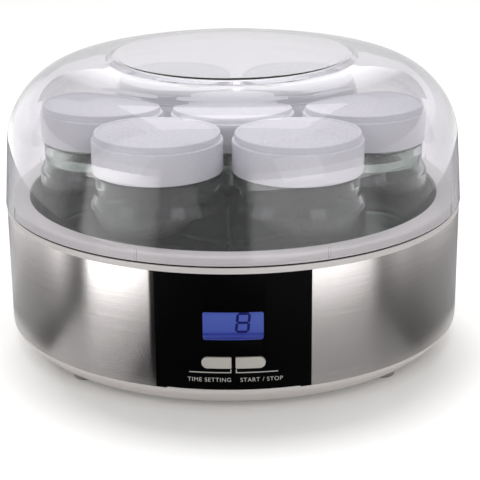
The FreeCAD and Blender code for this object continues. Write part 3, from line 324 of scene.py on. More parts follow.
def makeBrushedSteel():
    # stainless sheet brushed along the band: hair lines round it, so glints stretch up and down;
    # hair lines are 0.05 mm in life and drawn 0.6 mm high so that they show
    material, tree, place = newMaterial("brushedStainlessSteel")
    stretch = addNode(tree, "ShaderNodeMapping", {
        "Vector": place, "Scale": (1 / (40 * mm), 1 / (40 * mm), 1 / (0.6 * mm))})
    hairs = addNode(tree, "ShaderNodeTexNoise", {
        "Vector": stretch.outputs["Vector"], "Scale": 1.0, "Detail": 5.0, "Roughness": 0.65})
    tone = addNode(tree, "ShaderNodeMix", {
        "Factor": hairs.outputs["Fac"], "A": linear("#A9A5A4"), "B": linear("#B9B5B4")}, data_type="RGBA")
    gloss = addNode(tree, "ShaderNodeMapRange", {
        "Value": hairs.outputs["Fac"], "To Min": 0.19, "To Max": 0.24})
    bump = addNode(tree, "ShaderNodeBump", {
        "Height": hairs.outputs["Fac"], "Strength": 0.5, "Distance": 0.05 * mm})
    tangent = addNode(tree, "ShaderNodeTangent", direction_type="RADIAL", axis="Z")
    showShader(tree, addNode(tree, "ShaderNodeBsdfPrincipled", {
        "Base Color": tone.outputs["Result"], "Metallic": 1.0, "Roughness": gloss.outputs["Result"],
        "Anisotropic": 1.0, "Anisotropic Rotation": 0.25, "Tangent": tangent.outputs["Tangent"],
        "Normal": bump.outputs["Normal"]}))
    return material


brushedSteel = makeBrushedSteel()


def makeTubPlastic():
    # dark polypropylene with a fine grain; painted shade: paler on the upper wall and darker down at the floor, for
    # the shade deep between the jars
    material, tree, place = newMaterial("darkPolypropyleneTub")
    axes = addNode(tree, "ShaderNodeSeparateXYZ", {"Vector": place})
    # painted shade: the colour darkens towards the floor
    rise = addNode(tree, "ShaderNodeMapRange", {
        "Value": axes.outputs["Z"], "From Min": 56 * mm, "From Max": 72 * mm}, interpolation_type="SMOOTHSTEP")
    tone = addNode(tree, "ShaderNodeMix", {
        "Factor": rise.outputs["Result"], "A": linear("#1C1F1E"), "B": linear("#525554")}, data_type="RGBA")
    skin = addNode(tree, "ShaderNodeTexNoise", {"Vector": place, "Scale": 1 / (1.0 * mm), "Detail": 3.0})
    gloss = addNode(tree, "ShaderNodeMapRange", {"Value": skin.outputs["Fac"], "To Min": 0.39, "To Max": 0.45})
    bump = addNode(tree, "ShaderNodeBump", {
        "Height": skin.outputs["Fac"], "Strength": 0.35, "Distance": 0.03 * mm})
    showShader(tree, addNode(tree, "ShaderNodeBsdfPrincipled", {
        "Base Color": tone.outputs["Result"], "Roughness": gloss.outputs["Result"],
        "Normal": bump.outputs["Normal"], "IOR": 1.5}))
    return material


tubPlastic = makeTubPlastic()


def makeClearCover():
    # injection moulded styrene: polished, a hardly visible flow ripple; painted shade: its colour greys where it is
    # seen at a slant, as at the cover's sides
    material, tree, place = newMaterial("clearStyreneCover")
    ripple = addNode(tree, "ShaderNodeTexNoise", {"Vector": place, "Scale": 1 / (35 * mm), "Detail": 1.0})
    bump = addNode(tree, "ShaderNodeBump", {
        "Height": ripple.outputs["Fac"], "Strength": 0.06, "Distance": 0.6 * mm})
    # painted shade: near white face-on, grey at a slant
    slant = addNode(tree, "ShaderNodeLayerWeight", {"Blend": 0.5})
    depth = addNode(tree, "ShaderNodeMapRange", {
        "Value": slant.outputs["Facing"], "From Min": 0.3, "From Max": 1.0})
    body = addNode(tree, "ShaderNodeMix", {
        "Factor": depth.outputs["Result"], "A": linear("#F9F7FB"), "B": linear("#84828A")}, data_type="RGBA")
    glass = addNode(tree, "ShaderNodeBsdfPrincipled", {
        "Base Color": body.outputs["Result"], "Roughness": 0.015, "IOR": 1.55, "Transmission Weight": 1.0,
        "Normal": bump.outputs["Normal"]})
    showShader(tree, clearShader(tree, glass, "#FAFAFB"))
    return material


def makeJarGlass():
    # pressed soda-lime glass: faint green, walls a little wavy from the mould, the waves drawn out upwards
    material, tree, place = newMaterial("pressedJarGlass")
    drawn = addNode(tree, "ShaderNodeVectorMath", {0: place, 1: (1.0, 1.0, 0.45)}, operation="MULTIPLY")
    waves = addNode(tree, "ShaderNodeTexNoise", {
        "Vector": drawn.outputs["Vector"], "Scale": 1 / (13 * mm), "Detail": 1.5})
    bump = addNode(tree, "ShaderNodeBump", {
        "Height": waves.outputs["Fac"], "Strength": 0.25, "Distance": 0.5 * mm})
    glass = addNode(tree, "ShaderNodeBsdfPrincipled", {
        "Base Color": linear("#BCC6BF"), "Roughness": 0.0, "IOR": 1.52, "Transmission Weight": 1.0,
        "Normal": bump.outputs["Normal"]})
    showShader(tree, clearShader(tree, glass, "#E4EAE6"))
    return material


def makeLens():
    # hard-coated acrylic window, flat and clear
    material, tree, place = newMaterial("acrylicWindow")
    haze = addNode(tree, "ShaderNodeTexNoise", {"Vector": place, "Scale": 1 / (5 * mm), "Detail": 2.0})
    gloss = addNode(tree, "ShaderNodeMapRange", {"Value": haze.outputs["Fac"], "To Min": 0.02, "To Max": 0.06})
    sheen = addNode(tree, "ShaderNodeBsdfGlossy", {
        "Color": linear("#F4F5FB"), "Roughness": gloss.outputs["Result"]})
    through = addNode(tree, "ShaderNodeBsdfTransparent", {"Color": linear("#F4F5FB")})
    rim = addNode(tree, "ShaderNodeFresnel", {"IOR": 1.15})
    showShader(tree, addNode(tree, "ShaderNodeMixShader", {
        0: rim.outputs["Fac"], 1: through.outputs[0], 2: sheen.outputs[0]}))
    return material


def makeLitDisplay():
    # backlit liquid crystal: blue glow, paler above, with a darker bar near its lower edge
    material, tree, place = newMaterial("backlitDisplay")
    axes = addNode(tree, "ShaderNodeSeparateXYZ", {"Vector": place})
    rise = addNode(tree, "ShaderNodeMapRange", {
        "Value": axes.outputs["Z"], "From Min": 39.2 * mm, "From Max": 53.8 * mm})
    ramp = addNode(tree, "ShaderNodeValToRGB", {"Fac": rise.outputs["Result"]})
    stops = [
        (0.0, "#262A6C"), (0.07, "#3A448E"), (0.14, "#182474"), (0.24, "#42509A"), (0.34, "#47569E"),
        (0.8, "#4D5DA4"), (1.0, "#3F4E94")]
    setStops(ramp, [(spot, linear(colour)) for spot, colour in stops])
    spread = addNode(tree, "ShaderNodeTexNoise", {"Vector": place, "Scale": 1 / (9 * mm), "Detail": 1.0})
    drift = addNode(tree, "ShaderNodeMapRange", {"Value": spread.outputs["Fac"], "To Min": 0.0, "To Max": 0.35})
    lit = addNode(tree, "ShaderNodeMix", {
        "Factor": drift.outputs["Result"], "A": ramp.outputs["Color"], "B": linear("#4C5BA2")}, data_type="RGBA")
    showShader(tree, addNode(tree, "ShaderNodeBsdfPrincipled", {
        "Base Color": linear("#10122A"), "Roughness": 0.3, "Emission Color": lit.outputs["Result"],
        "Emission Strength": 1.0}))
    return material


def makeSegmentInk():
    # dark liquid crystal segment over the glow
    material, tree, place = newMaterial("displaySegment")
    edge = addNode(tree, "ShaderNodeTexNoise", {"Vector": place, "Scale": 1 / (2 * mm), "Detail": 1.0})
    lit = addNode(tree, "ShaderNodeMix", {
        "Factor": edge.outputs["Fac"], "A": linear("#0A1048"), "B": linear("#10185A")}, data_type="RGBA")
    showShader(tree, addNode(tree, "ShaderNodeBsdfPrincipled", {
        "Base Color": linear("#05060F"), "Roughness": 0.4, "Emission Color": lit.outputs["Result"],
        "Emission Strength": 1.0}))
    return material


coverPlastic = makeClearCover()
jarGlass = makeJarGlass()
lensAcrylic = makeLens()
litDisplay = makeLitDisplay()
segmentInk = makeSegmentInk()
print("materials ready")


# base

housingSizes = {
    "wallIn": 122.1, "wallOut": 124.3, "bottom": 12.1, "bandTop": 73.7, "rimRadius": 125.0, "rimTop": 76.8,
    "seatRadius": 124.2, "seat": 77.8, "ringRadius": 122.6, "ringTop": 81.9, "ringFall": 0.6, "ringWall": 2.2,
    "mouth": 112.4, "rimRound": 0.5, "ringRound": 1.5, "recess": 123.3, "recessHalf": 18.1, "recessFall": 1.6,
    "steps": 192, "cutSteps": 24, "cutOut": 130.0, "cutFront": -128.0, "cutBack": -110.0,
    "windowHalf": 17.4, "windowLow": 37.1, "windowHigh": 55.9, "keyHalf": 16.15, "keyLow": 24.1, "keyHigh": 30.5,
    "slotIn": 118.0, "slotLow": 10.5, "slotHigh": 45.1, "slotHalf": 14.1,
}


def makeHousing(s):
    underside = s["ringTop"] - s["ringFall"] - s["ringWall"]
    ringIn = s["ringRadius"] - s["ringWall"]
    piece = spinPiece(drawOutline("housing", [
        (s["wallIn"], s["bottom"]), (s["wallOut"], s["bottom"]), (s["wallOut"], s["bandTop"]),
        (s["rimRadius"], s["bandTop"]), (s["rimRadius"], s["rimTop"], s["rimRound"]),
        (s["seatRadius"], s["rimTop"]), (s["seatRadius"], s["seat"]), (s["ringRadius"], s["seat"]),
        (s["ringRadius"], s["ringTop"], s["ringRound"]), (s["mouth"], s["ringTop"] - s["ringFall"], s["rimRound"]),
        (s["mouth"], underside), (ringIn, underside), (ringIn, s["bandTop"]), (s["wallIn"], s["bandTop"]),
    ], closed=True, segments=5), s["steps"])
    recessLow = s["bottom"] - s["recessFall"]
    carve(piece, sector("recessTool", [
        (s["recess"], recessLow), (s["cutOut"], recessLow), (s["cutOut"], s["bandTop"]), (s["recess"], s["bandTop"])],
        -90, s["recessHalf"], s["cutSteps"]))
    # openings behind the panel for the display and the two keys
    for opening in ("window", "key"):
        half = s[opening + "Half"]
        carve(piece, block(opening + "Tool", (-half, s["cutFront"], s[opening + "Low"]),
                           (half, s["cutBack"], s[opening + "High"])))
    # slot at the rear for the gland's plate
    carve(piece, sector("slotTool", [
        (s["slotIn"], s["slotLow"]), (s["cutOut"], s["slotLow"]), (s["cutOut"], s["slotHigh"]),
        (s["slotIn"], s["slotHigh"])], 90, s["slotHalf"], s["cutSteps"]))
    return piece


settle(makeHousing(housingSizes), palePlastic, "base", ["upper_housing"])

# black ring in the gap between the rim and the cover's seat: painted shadow, a dark ring where there is only the shade
# of that gap
shadowGapSizes = {"inner": 123.9, "outer": 124.85, "bottom": 76.85, "top": 77.72, "edge": 0.15, "steps": 192}


def makeShadowGapRing(s):
    return spinPiece(drawOutline("seat_shadow_gap", [
        (s["inner"], s["bottom"]), (s["outer"], s["bottom"], s["edge"]), (s["outer"], s["top"], s["edge"]),
        (s["inner"], s["top"])], closed=True, segments=3), s["steps"])


settle(makeShadowGapRing(shadowGapSizes), shadowGapBlack, "base", [])

bandSizes = {
    "outer": 125.0, "sheet": 0.6, "bottom": 12.1, "top": 73.7, "half": 161.9, "edge": 0.2, "edgeSteps": 2,
    "edgeAngle": 60, "steps": 216, "hole": 6.1, "holeStart": (0, 118, 31), "holeDepth": 10,
}


def makeBand(s):
    inner = s["outer"] - s["sheet"]
    piece = sector("band", [
        (inner, s["bottom"]), (s["outer"], s["bottom"]), (s["outer"], s["top"]), (inner, s["top"])],
        90, s["half"], s["steps"])
    carve(piece, rod("holeTool", s["hole"], s["holeStart"], s["holeDepth"], "Y"))
    softenEdges(piece, s["edge"], s["edgeSteps"], s["edgeAngle"])
    return piece


settle(makeBand(bandSizes), brushedSteel, "base", ["steel_band"])

panSizes = {
    "base": 3.0, "edge": 117.4, "edgeRound": 1.5, "outer": 125.0, "slopeTop": 10.5, "top": 12.1, "round": 3.2,
    "spigotOut": 121.9, "spigotIn": 119.9, "spigotTop": 20.1, "floorTop": 5.5, "floorEdge": 115.4, "steps": 192,
    "lipIn": 123.4, "lipTop": 12.65, "lipRoot": 0.4, "lipRound": 0.5, "lipHalf": 15.4, "lipSteps": 24,
    "vents": 12, "ventIn": 80, "ventOut": 95, "ventWidth": 2.4, "ventTop": 9,
    "screws": 3, "screwCircle": 108, "screwRecess": 3.3, "screwTop": 12,
    "feet": 4, "firstFoot": 45, "footCircle": 110, "footSeat": 6.7, "footDepth": 1.2,
}


def makePan(s):
    piece = spinPiece(drawOutline("pan", [
        (0, s["base"]), (s["edge"], s["base"], s["edgeRound"]), (s["outer"], s["slopeTop"], s["round"]),
        (s["outer"], s["top"]), (s["spigotOut"], s["top"]),
        (s["spigotOut"], s["spigotTop"]), (s["spigotIn"], s["spigotTop"]),
        (s["spigotIn"], s["slopeTop"]), (s["floorEdge"], s["floorTop"]), (0, s["floorTop"]),
    ], segments=6), s["steps"])
    lipLow = s["top"] - s["lipRoot"]
    lip = sector("lipTool", [
        (s["lipIn"], lipLow), (s["outer"], lipLow), (s["outer"], s["lipTop"], s["lipRound"]),
        (s["lipIn"], s["lipTop"])], -90, s["lipHalf"], s["lipSteps"])
    carve(piece, lip, "UNION")
    tools = []
    for index in range(s["vents"]):
        slot = block("ventTool", (s["ventIn"], -s["ventWidth"] / 2, 0),
                     (s["ventOut"], s["ventWidth"] / 2, s["ventTop"]))
        slot.rotation_euler.z = math.radians(360 / s["vents"] * (index + 0.5))
        tools.append(slot)
    for index in range(s["screws"]):
        spot = onCircle(s["screwCircle"], 360 / s["screws"] * index)
        tools.append(rod("screwTool", s["screwRecess"], spot, s["screwTop"]))
    for index in range(s["feet"]):
        spot = onCircle(s["footCircle"], s["firstFoot"] + 360 / s["feet"] * index)
        tools.append(rod("seatTool", s["footSeat"], spot, s["base"] + s["footDepth"]))
    carve(piece, joinPieces(tools, "panTools"))
    return piece


settle(makePan(panSizes), panPlastic, "base", ["bottom_pan"])

footSizes = {
    "circle": 110.0, "radius": 6.5, "height": 4.2, "bevel": 1.0, "hollow": 0.35, "hollowEdge": 2.2, "hollowFoot": 2.6,
    "steps": 48, "places": {"rear_right": 45, "rear_left": 135, "front_left": 225, "front_right": 315},
}


def makeFeet(s):
    first = spinPiece(drawOutline("foot", [
        (0, s["hollow"]), (s["radius"] - s["hollowEdge"], s["hollow"]), (s["radius"] - s["hollowFoot"], 0),
        (s["radius"], 0, s["bevel"]), (s["radius"], s["height"]), (0, s["height"])], segments=4), s["steps"])
    for place, turn in s["places"].items():
        foot = copyTo(first, "rubber_" + place, onCircle(s["circle"], turn))
        settle(foot, footRubber, "base", ["foot_" + place])
    bpy.data.objects.remove(first)


makeFeet(footSizes)
print("base done")


# control panel

panelSizes = {
    "back": 123.4, "face": 125.0, "bottom": 12.2, "top": 73.6, "half": 18.0, "steps": 48, "edge": 0.18,
    "edgeSteps": 2, "edgeAngle": 50, "notchIn": 120, "notchLow": 8, "notchTop": 12.75, "notchHalf": 15.5,
    "notchSteps": 24, "windowWide": 30.0, "windowHigh": 14.7, "windowLevel": 46.5, "corner": 1.1,
}
buttonSizes = {
    "inner": 1.05, "outer": 15.85, "height": 5.8, "level": 27.3, "face": 125.7, "back": 121.0, "gap": 0.3,
    "innerRound": 0.4, "endShare": 0.999, "edge": 0.45, "edgeSteps": 4, "edgeAngle": 50,
    "barrelIn": 110, "barrelLow": 15, "barrelHigh": 40, "barrelHalf": 16, "barrelSteps": 64,
}
# tools and blanks reach from well in front of the panel to well behind it
cutFront, cutBack = 130, 115


def buttonForm(name, s, side, room, back):
    # square towards the middle and round at the outer end, drawn upright
    half = s["height"] / 2 + room
    inner, outer = side * (s["inner"] - room), side * (s["outer"] + room)
    low, high = s["level"] - half, s["level"] + half
    small, large = s["innerRound"] + room, half * s["endShare"]
    form = drawOutline(name, [
        (inner, low, small), (outer, low, large), (outer, high, large), (inner, high, small)],
        closed=True, segments=14)
    return pushBack(form, cutFront, back)


def windowForm(name, s, room):
    wide, high = s["windowWide"] / 2 - room, s["windowHigh"] / 2 - room
    level, corner = s["windowLevel"], s["corner"]
    form = drawOutline(name, [
        (-wide, level - high, corner), (wide, level - high, corner), (wide, level + high, corner),
        (-wide, level + high, corner)], closed=True, segments=6)
    return pushBack(form, cutFront, cutBack)


def makePanel(s, keys):
    piece = sector("panel", [
        (s["back"], s["bottom"]), (s["face"], s["bottom"]), (s["face"], s["top"]), (s["back"], s["top"])],
        -90, s["half"], s["steps"])
    carve(piece, sector("notchTool", [
        (s["notchIn"], s["notchLow"]), (cutFront, s["notchLow"]), (cutFront, s["notchTop"]),
        (s["notchIn"], s["notchTop"])], -90, s["notchHalf"], s["notchSteps"]))
    carve(piece, windowForm("windowTool", s, 0))
    for side in (-1, 1):
        carve(piece, buttonForm("keyTool", keys, side, keys["gap"], cutBack))
    softenEdges(piece, s["edge"], s["edgeSteps"], s["edgeAngle"])
    return piece


panel = settle(makePanel(panelSizes, buttonSizes), panelFilm, "base", ["control_panel"])

lensSizes = {"face": 124.85, "back": 123.4, "gap": 0.1, "low": 30, "high": 60, "half": 12, "steps": 32}


def makeLensPiece(s, window):
    piece = windowForm("window_lens", window, s["gap"])
    sheet = sector("sheetTool", [
        (s["back"], s["low"]), (s["face"], s["low"]), (s["face"], s["high"]), (s["back"], s["high"])],
        -90, s["half"], s["steps"])
    carve(piece, sheet, "INTERSECT")
    return piece


settle(makeLensPiece(lensSizes, panelSizes), lensAcrylic, "base", ["display_window"])

digitSizes = {
    "centre": 4.8, "low": 41.9, "high": 52.8, "wide": 7.2, "line": 1.35, "gap": 0.2, "slant": 0.1, "front": 122.2,
    "thickness": 0.06,
}


def makeDigit(s):
    # seven pointed bars, each stretched from a hexagon and turned into its place in the figure
    bar = (s["high"] - s["low"] - s["line"]) / 2
    wide = s["wide"] - s["line"]
    middle = (s["low"] + s["high"]) / 2
    corner = s["line"] / math.sqrt(3)
    places = [(0, height, 90, wide) for height in (s["low"] + s["line"] / 2, middle, s["high"] - s["line"] / 2)]
    for x in (-wide / 2, wide / 2):
        places.append((x, middle - bar / 2, 0, bar))
        places.append((x, middle + bar / 2, 0, bar))
    bars = []
    for x, z, turn, length in places:
        clearSelection()
        bpy.ops.mesh.primitive_circle_add(vertices=6, radius=corner * mm, fill_type="NGON")
        one = bpy.context.object
        bpy.ops.object.mode_set(mode="EDIT")
        stretch = (length - 2 * s["gap"]) / 2 - corner
        for side in (1, -1):
            pickPoints(one, lambda place: place.y * side > 0)
            bpy.ops.transform.translate(value=(0, side * stretch * mm, 0))
        bpy.ops.mesh.select_all(action="SELECT")
        bpy.ops.mesh.extrude_region_move(TRANSFORM_OT_translate={"value": (0, 0, s["thickness"] * mm)})
        bpy.ops.mesh.select_all(action="SELECT")
        bpy.ops.mesh.normals_make_consistent(inside=False)
        bpy.ops.object.mode_set(mode="OBJECT")
        one.rotation_euler = (math.pi / 2, math.radians(turn), 0)
        one.location = (x * mm, 0, z * mm)
        bpy.ops.object.transform_apply(location=True, rotation=True, scale=True)
        bars.append(one)
    digit = joinPieces(bars, "display_digit")
    lean = Matrix(((1, 0, s["slant"], 0), (0, 1, 0, 0), (0, 0, 1, 0), (0, 0, 0, 1)))
    toPlace = Matrix.Translation((s["centre"] * mm, -s["front"] * mm, middle * mm))
    digit.data.transform(toPlace @ lean @ Matrix.Translation((0, 0, -middle * mm)))
    return digit


settle(makeDigit(digitSizes), segmentInk, "base", [], 10)


def makeButton(s, side, name):
    # the face follows the curve of the panel
    piece = buttonForm(name, s, side, 0, s["back"])
    barrel = sector("faceTool", [
        (s["barrelIn"], s["barrelLow"]), (s["face"], s["barrelLow"]), (s["face"], s["barrelHigh"]),
        (s["barrelIn"], s["barrelHigh"])], -90, s["barrelHalf"], s["barrelSteps"])
    carve(piece, barrel, "INTERSECT")
    softenEdges(piece, s["edge"], s["edgeSteps"], s["edgeAngle"])
    return piece


settle(makeButton(buttonSizes, -1, "timer_cap"), buttonPlastic, "timer_key", ["timer_button"])
settle(makeButton(buttonSizes, 1, "start_cap"), buttonPlastic, "start_key", ["start_button"])

ruleSizes = {
    "radius": 125.0, "proud": 0.03, "sunk": 0.02, "level": 21.7, "line": 0.5, "inner": 1.1, "outer": 22.0,
    "tick": 2.0, "steps": 16, "tickSteps": 2,
}


def makeRules(s):
    parts = []
    first, last = (math.degrees(math.asin(s[end] / s["radius"])) for end in ("inner", "outer"))
    width = math.degrees(s["line"] / s["radius"]) / 2
    under, face = s["radius"] - s["sunk"], s["radius"] + s["proud"]
    low, lineTop, tickTop = s["level"], s["level"] + s["line"], s["level"] + s["tick"]
    for side in (-1, 1):
        line = [(under, low), (face, low), (face, lineTop), (under, lineTop)]
        parts.append(sector("ruleLine", line, -90 + side * (first + last) / 2, (last - first) / 2, s["steps"]))
        tick = [(under, low), (face, low), (face, tickTop), (under, tickTop)]
        parts.append(sector("ruleTick", tick, -90 + side * (first + width), width, s["tickSteps"]))
    return joinPieces(parts, "printed_rules")


settle(makeRules(ruleSizes), whitePrint, "base", [])

labelSizes = {
    "words": {"TIME SETTING": -12.0, "START / STOP": 13.8}, "level": 17.0, "height": 3.1, "spread": 1.12,
    "proud": 0.02, "thickness": 0.03,
}


def makeLabels(s):
    # plain words below the two keys, laid on the curve of the panel
    made = []
    for words, x in s["words"].items():
        clearSelection()
        bpy.ops.object.text_add(location=(x * mm, -cutFront * mm, s["level"] * mm), rotation=(math.pi / 2, 0, 0))
        text = bpy.context.object
        text.data.body = words
        text.data.size = s["height"] * mm
        text.data.space_character = s["spread"]
        text.data.align_x = "CENTER"
        bpy.ops.object.convert(target="MESH")
        bpy.ops.object.transform_apply(location=True, rotation=True, scale=True)
        made.append(bpy.context.object)
    label = joinPieces(made, "printed_labels")
    useModifier(label, "SHRINKWRAP", wrap_method="PROJECT", target=panel, use_project_y=True,
                use_positive_direction=True, use_negative_direction=False, offset=s["proud"] * mm)
    useModifier(label, "SOLIDIFY", thickness=s["thickness"] * mm, offset=0.0)
    return label


settle(makeLabels(labelSizes), whitePrint, "base", [], 10)
print("control panel done")


# tub, cover and jars

tubSizes = {
    "under": 53.0, "floor": 55.0, "foot": 111.6, "wall": 2.0, "mouth": 112.4, "mouthTop": 79.1, "flangeLow": 70.0,
    "flangeTop": 72.0, "flange": 119.8, "inRound": 6.0, "outRound": 8.0, "steps": 144,
}


def makeTub(s):
    out = s["mouth"] + s["wall"]
    return spinPiece(drawOutline("tub", [
        (0, s["under"]), (s["foot"] + s["wall"], s["under"], s["outRound"]), (out, s["flangeLow"]),
        (s["flange"], s["flangeLow"]), (s["flange"], s["flangeTop"]), (out, s["flangeTop"]), (out, s["mouthTop"]),
        (s["mouth"], s["mouthTop"]), (s["foot"], s["floor"], s["inRound"]), (0, s["floor"])], segments=6), s["steps"])


settle(makeTub(tubSizes), tubPlastic, "base", ["warming_tub"])

coverSizes = {
    "edge": 125.46, "seat": 77.8, "corner": 120.8, "cornerHigh": 145.0, "shoulder": 40.7, "discFoot": 68.4,
    "footHigh": 153.9, "disc": 64.4, "top": 156.29, "footRound": 0.8, "discRound": 5.0, "crown": 80.0,
    "crownHigh": 152.9, "crownRound": 120.0, "wall": 2.0, "ribs": 8, "ribIn": 122.9,
    "ribOut": 124.5, "ribWide": 1.2, "ribLow": 0.05, "ribHigh": 5.7, "steps": 192,
}


def makeCover(s):
    piece = spinPiece(drawOutline("cover", [
        (s["edge"], s["seat"]), (s["corner"], s["cornerHigh"], s["shoulder"]),
        (s["crown"], s["crownHigh"], s["crownRound"]),
        (s["discFoot"], s["footHigh"], s["footRound"]), (s["disc"], s["top"], s["discRound"]), (0, s["top"]),
    ], segments=20), s["steps"])
    useModifier(piece, "SOLIDIFY", thickness=s["wall"] * mm, offset=-1.0, use_even_offset=True, use_rim=True)
    ribs = []
    for index in range(s["ribs"]):
        rib = block("ribTool", (s["ribIn"], -s["ribWide"] / 2, s["seat"] + s["ribLow"]),
                    (s["ribOut"], s["ribWide"] / 2, s["seat"] + s["ribHigh"]))
        rib.rotation_euler.z = math.radians(360 / s["ribs"] * (index + 0.5))
        ribs.append(rib)
    carve(piece, joinPieces(ribs, "ribTools"), "UNION")
    return piece


settle(makeCover(coverSizes), coverPlastic, "cover", ["clear_cover"])
print("cover done")

jarSizes = {
    "pitch": 71.8, "turn": -2.15, "floor": 55.0, "radius": 35.4, "height": 71.0, "wall": 2.6, "bottom": 4.0,
    "foot": 24.0, "rise": 1.5, "footRound": 0.6, "heel": 6.0, "innerRound": 5.0, "shoulder": 36.5,
    "shoulderRound": 4.0, "collar": 32.6, "collarLow": 42.0, "collarHigh": 52.0, "collarRound": 1.5, "neck": 30.9,
    "mouth": 28.4, "mouthLow": 46.0, "mouthRound": 3.0, "lipRound": 0.5, "count": 7, "steps": 96,
}
lidSizes = {
    "seat": 17.5, "radius": 33.7, "height": 19.9, "wall": 1.5, "guide": 31.3, "guideLow": 15.0, "ledge": 16.2,
    "top": 32.3, "rim": 1.7, "dish": 0.8, "bevel": 0.8, "round": 0.7, "fineRound": 0.25, "dishRound": 0.3, "steps": 96,
}


def makeJar(s):
    inside = s["radius"] - s["wall"]
    return spinPiece(drawOutline("jarGlass", [
        (0, s["rise"]), (s["foot"], s["rise"]), (s["foot"] + s["rise"], 0, s["footRound"]),
        (s["radius"], 0, s["heel"]), (s["radius"], s["shoulder"], s["shoulderRound"]),
        (s["collar"], s["collarLow"], s["collarRound"]), (s["collar"], s["collarHigh"], s["lipRound"]),
        (s["neck"], s["collarHigh"]), (s["neck"], s["height"], s["lipRound"]),
        (s["mouth"], s["height"], s["lipRound"]), (s["mouth"], s["mouthLow"], s["mouthRound"]),
        (inside, s["shoulder"], s["shoulderRound"]), (inside, s["bottom"], s["innerRound"]),
        (0, s["bottom"])], segments=6), s["steps"])


def makeLid(s):
    inside = s["radius"] - s["wall"]
    rim = s["top"] - s["rim"]
    return spinPiece(drawOutline("jarLid", [
        (0, s["seat"]), (s["guide"], s["seat"]), (s["guide"], s["guideLow"]),
        (inside, s["guideLow"] - (inside - s["guide"])), (inside, 0), (s["radius"], 0, s["fineRound"]),
        (s["radius"], s["ledge"], s["round"]), (s["top"], s["ledge"]), (s["top"], s["height"], s["round"]),
        (rim, s["height"], s["fineRound"]), (rim - s["bevel"], s["height"] - s["dish"], s["dishRound"]),
        (0, s["height"] - s["dish"])], segments=5), s["steps"])


def placeJars(s, lid):
    # six jars on a circle and the last in the middle
    glass, cap = makeJar(s), makeLid(lid)
    around = s["count"] - 1
    lidFoot = s["floor"] + s["height"] - lid["seat"]
    for index in range(1, s["count"] + 1):
        reach = s["pitch"] if index <= around else 0
        turn = s["turn"] + 360 / around * (index - 1)
        jar = copyTo(glass, "glass_%d" % index, onCircle(reach, turn, s["floor"]))
        settle(jar, jarGlass, "jar_%d" % index, ["jar_%d" % index])
        top = copyTo(cap, "cap_%d" % index, onCircle(reach, turn, lidFoot))
        settle(top, lidPlastic, "jar_lid_%d" % index, ["jar_lid_%d" % index])
    bpy.data.objects.remove(glass)
    bpy.data.objects.remove(cap)


placeJars(jarSizes, lidSizes)

glandSizes = {
    "bore": 3.6, "mouth": 4.2, "holdEnd": 120.67, "radius": 6.0, "nut": 9.0, "nutLow": 112.67, "nutHigh": 121.66,
    "face": 125.2, "edgeRound": 0.4, "faceRound": 0.15, "level": 31.0, "steps": 64,
    "plateIn": 122.1, "plateOut": 124.3, "plateLow": 12.1, "plateHigh": 45.0, "plateHalf": 14.0, "plateSteps": 24,
}


def makeGland(s):
    piece = spinPiece(drawOutline("gland", [
        (s["bore"], s["nutLow"]), (s["nut"], s["nutLow"], s["edgeRound"]), (s["nut"], s["nutHigh"]),
        (s["radius"], s["nutHigh"]), (s["radius"], s["face"], s["faceRound"]), (s["mouth"], s["face"], s["edgeRound"]),
        (s["mouth"], s["holdEnd"]), (s["bore"], s["holdEnd"])], closed=True, segments=4), s["steps"])
    piece.rotation_euler.x = -math.pi / 2
    piece.location.z = s["level"] * mm
    choose(piece)
    bpy.ops.object.transform_apply(location=True, rotation=True, scale=True)
    # plate in the slot of the wall, open where the barrel goes through
    plate = sector("glandPlate", [
        (s["plateIn"], s["plateLow"]), (s["plateOut"], s["plateLow"]), (s["plateOut"], s["plateHigh"]),
        (s["plateIn"], s["plateHigh"])], 90, s["plateHalf"], s["plateSteps"])
    middle = (s["mouth"] + s["radius"]) / 2
    carve(plate, rod("barrelTool", middle, (0, s["nutLow"], s["level"]), s["face"] - s["nutLow"], "Y"))
    carve(piece, plate, "UNION")
    return piece


settle(makeGland(glandSizes), glandPlastic, "base", ["cord_gland"])
print("jars and gland done")


# CAD nodes that stay as they are

nodeFinish = {
    "display": litDisplay, "display_backlight": lightGuide, "timer_plunger": switchPlastic,
    "start_plunger": switchPlastic, "button_switches": switchPlastic, "control_board": boardGreen,
    "power_board": boardGreen, "board_screws": screwSteel, "closing_screws": screwSteel, "tub_screws": screwSteel,
    "heater_clamps": screwSteel, "supply_screws": screwSteel, "heat_spreader": spreaderMetal,
    "foil_heater": heaterFoil, "insulating_felt": greyFelt, "temperature_sensor": screwSteel,
    "thermal_fuse": terminalNylon, "transformer": laminatedIron, "relay": switchPlastic, "capacitor": sleeveBlue,
    "terminal_block": terminalNylon,
}
for name, material in nodeFinish.items():
    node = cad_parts[name]
    node.data.materials.clear()
    node.data.materials.append(material)
print("inner nodes finished")


# studio

lampPlan = {
    # name: place, aimed at, width, height, watts
    "topBox": ((0.0, 0.25, 1.25), (0, 0, 0.1), 1.1, 0.9, 6.5),
    "leftBox": ((-1.05, -0.75, 0.55), (0, 0, 0.08), 0.5, 0.9, 1.1),
    "rightBox": ((0.7, -1.05, 0.6), (0, 0, 0.08), 0.5, 0.8, 1.4),
}
for name, (place, target, wide, high, watts) in lampPlan.items():
    lamp = bpy.data.lights.new(name, "AREA")
    lamp.shape = "RECTANGLE"
    lamp.size, lamp.size_y = wide, high
    lamp.energy = watts
    holder = bpy.data.objects.new(name, lamp)
    holder.location = place
    holder.rotation_euler = (Vector(target) - Vector(place)).to_track_quat("-Z", "Y").to_euler()
    holder.visible_camera = holder.visible_glossy = False
    bpy.context.scene.collection.objects.link(holder)

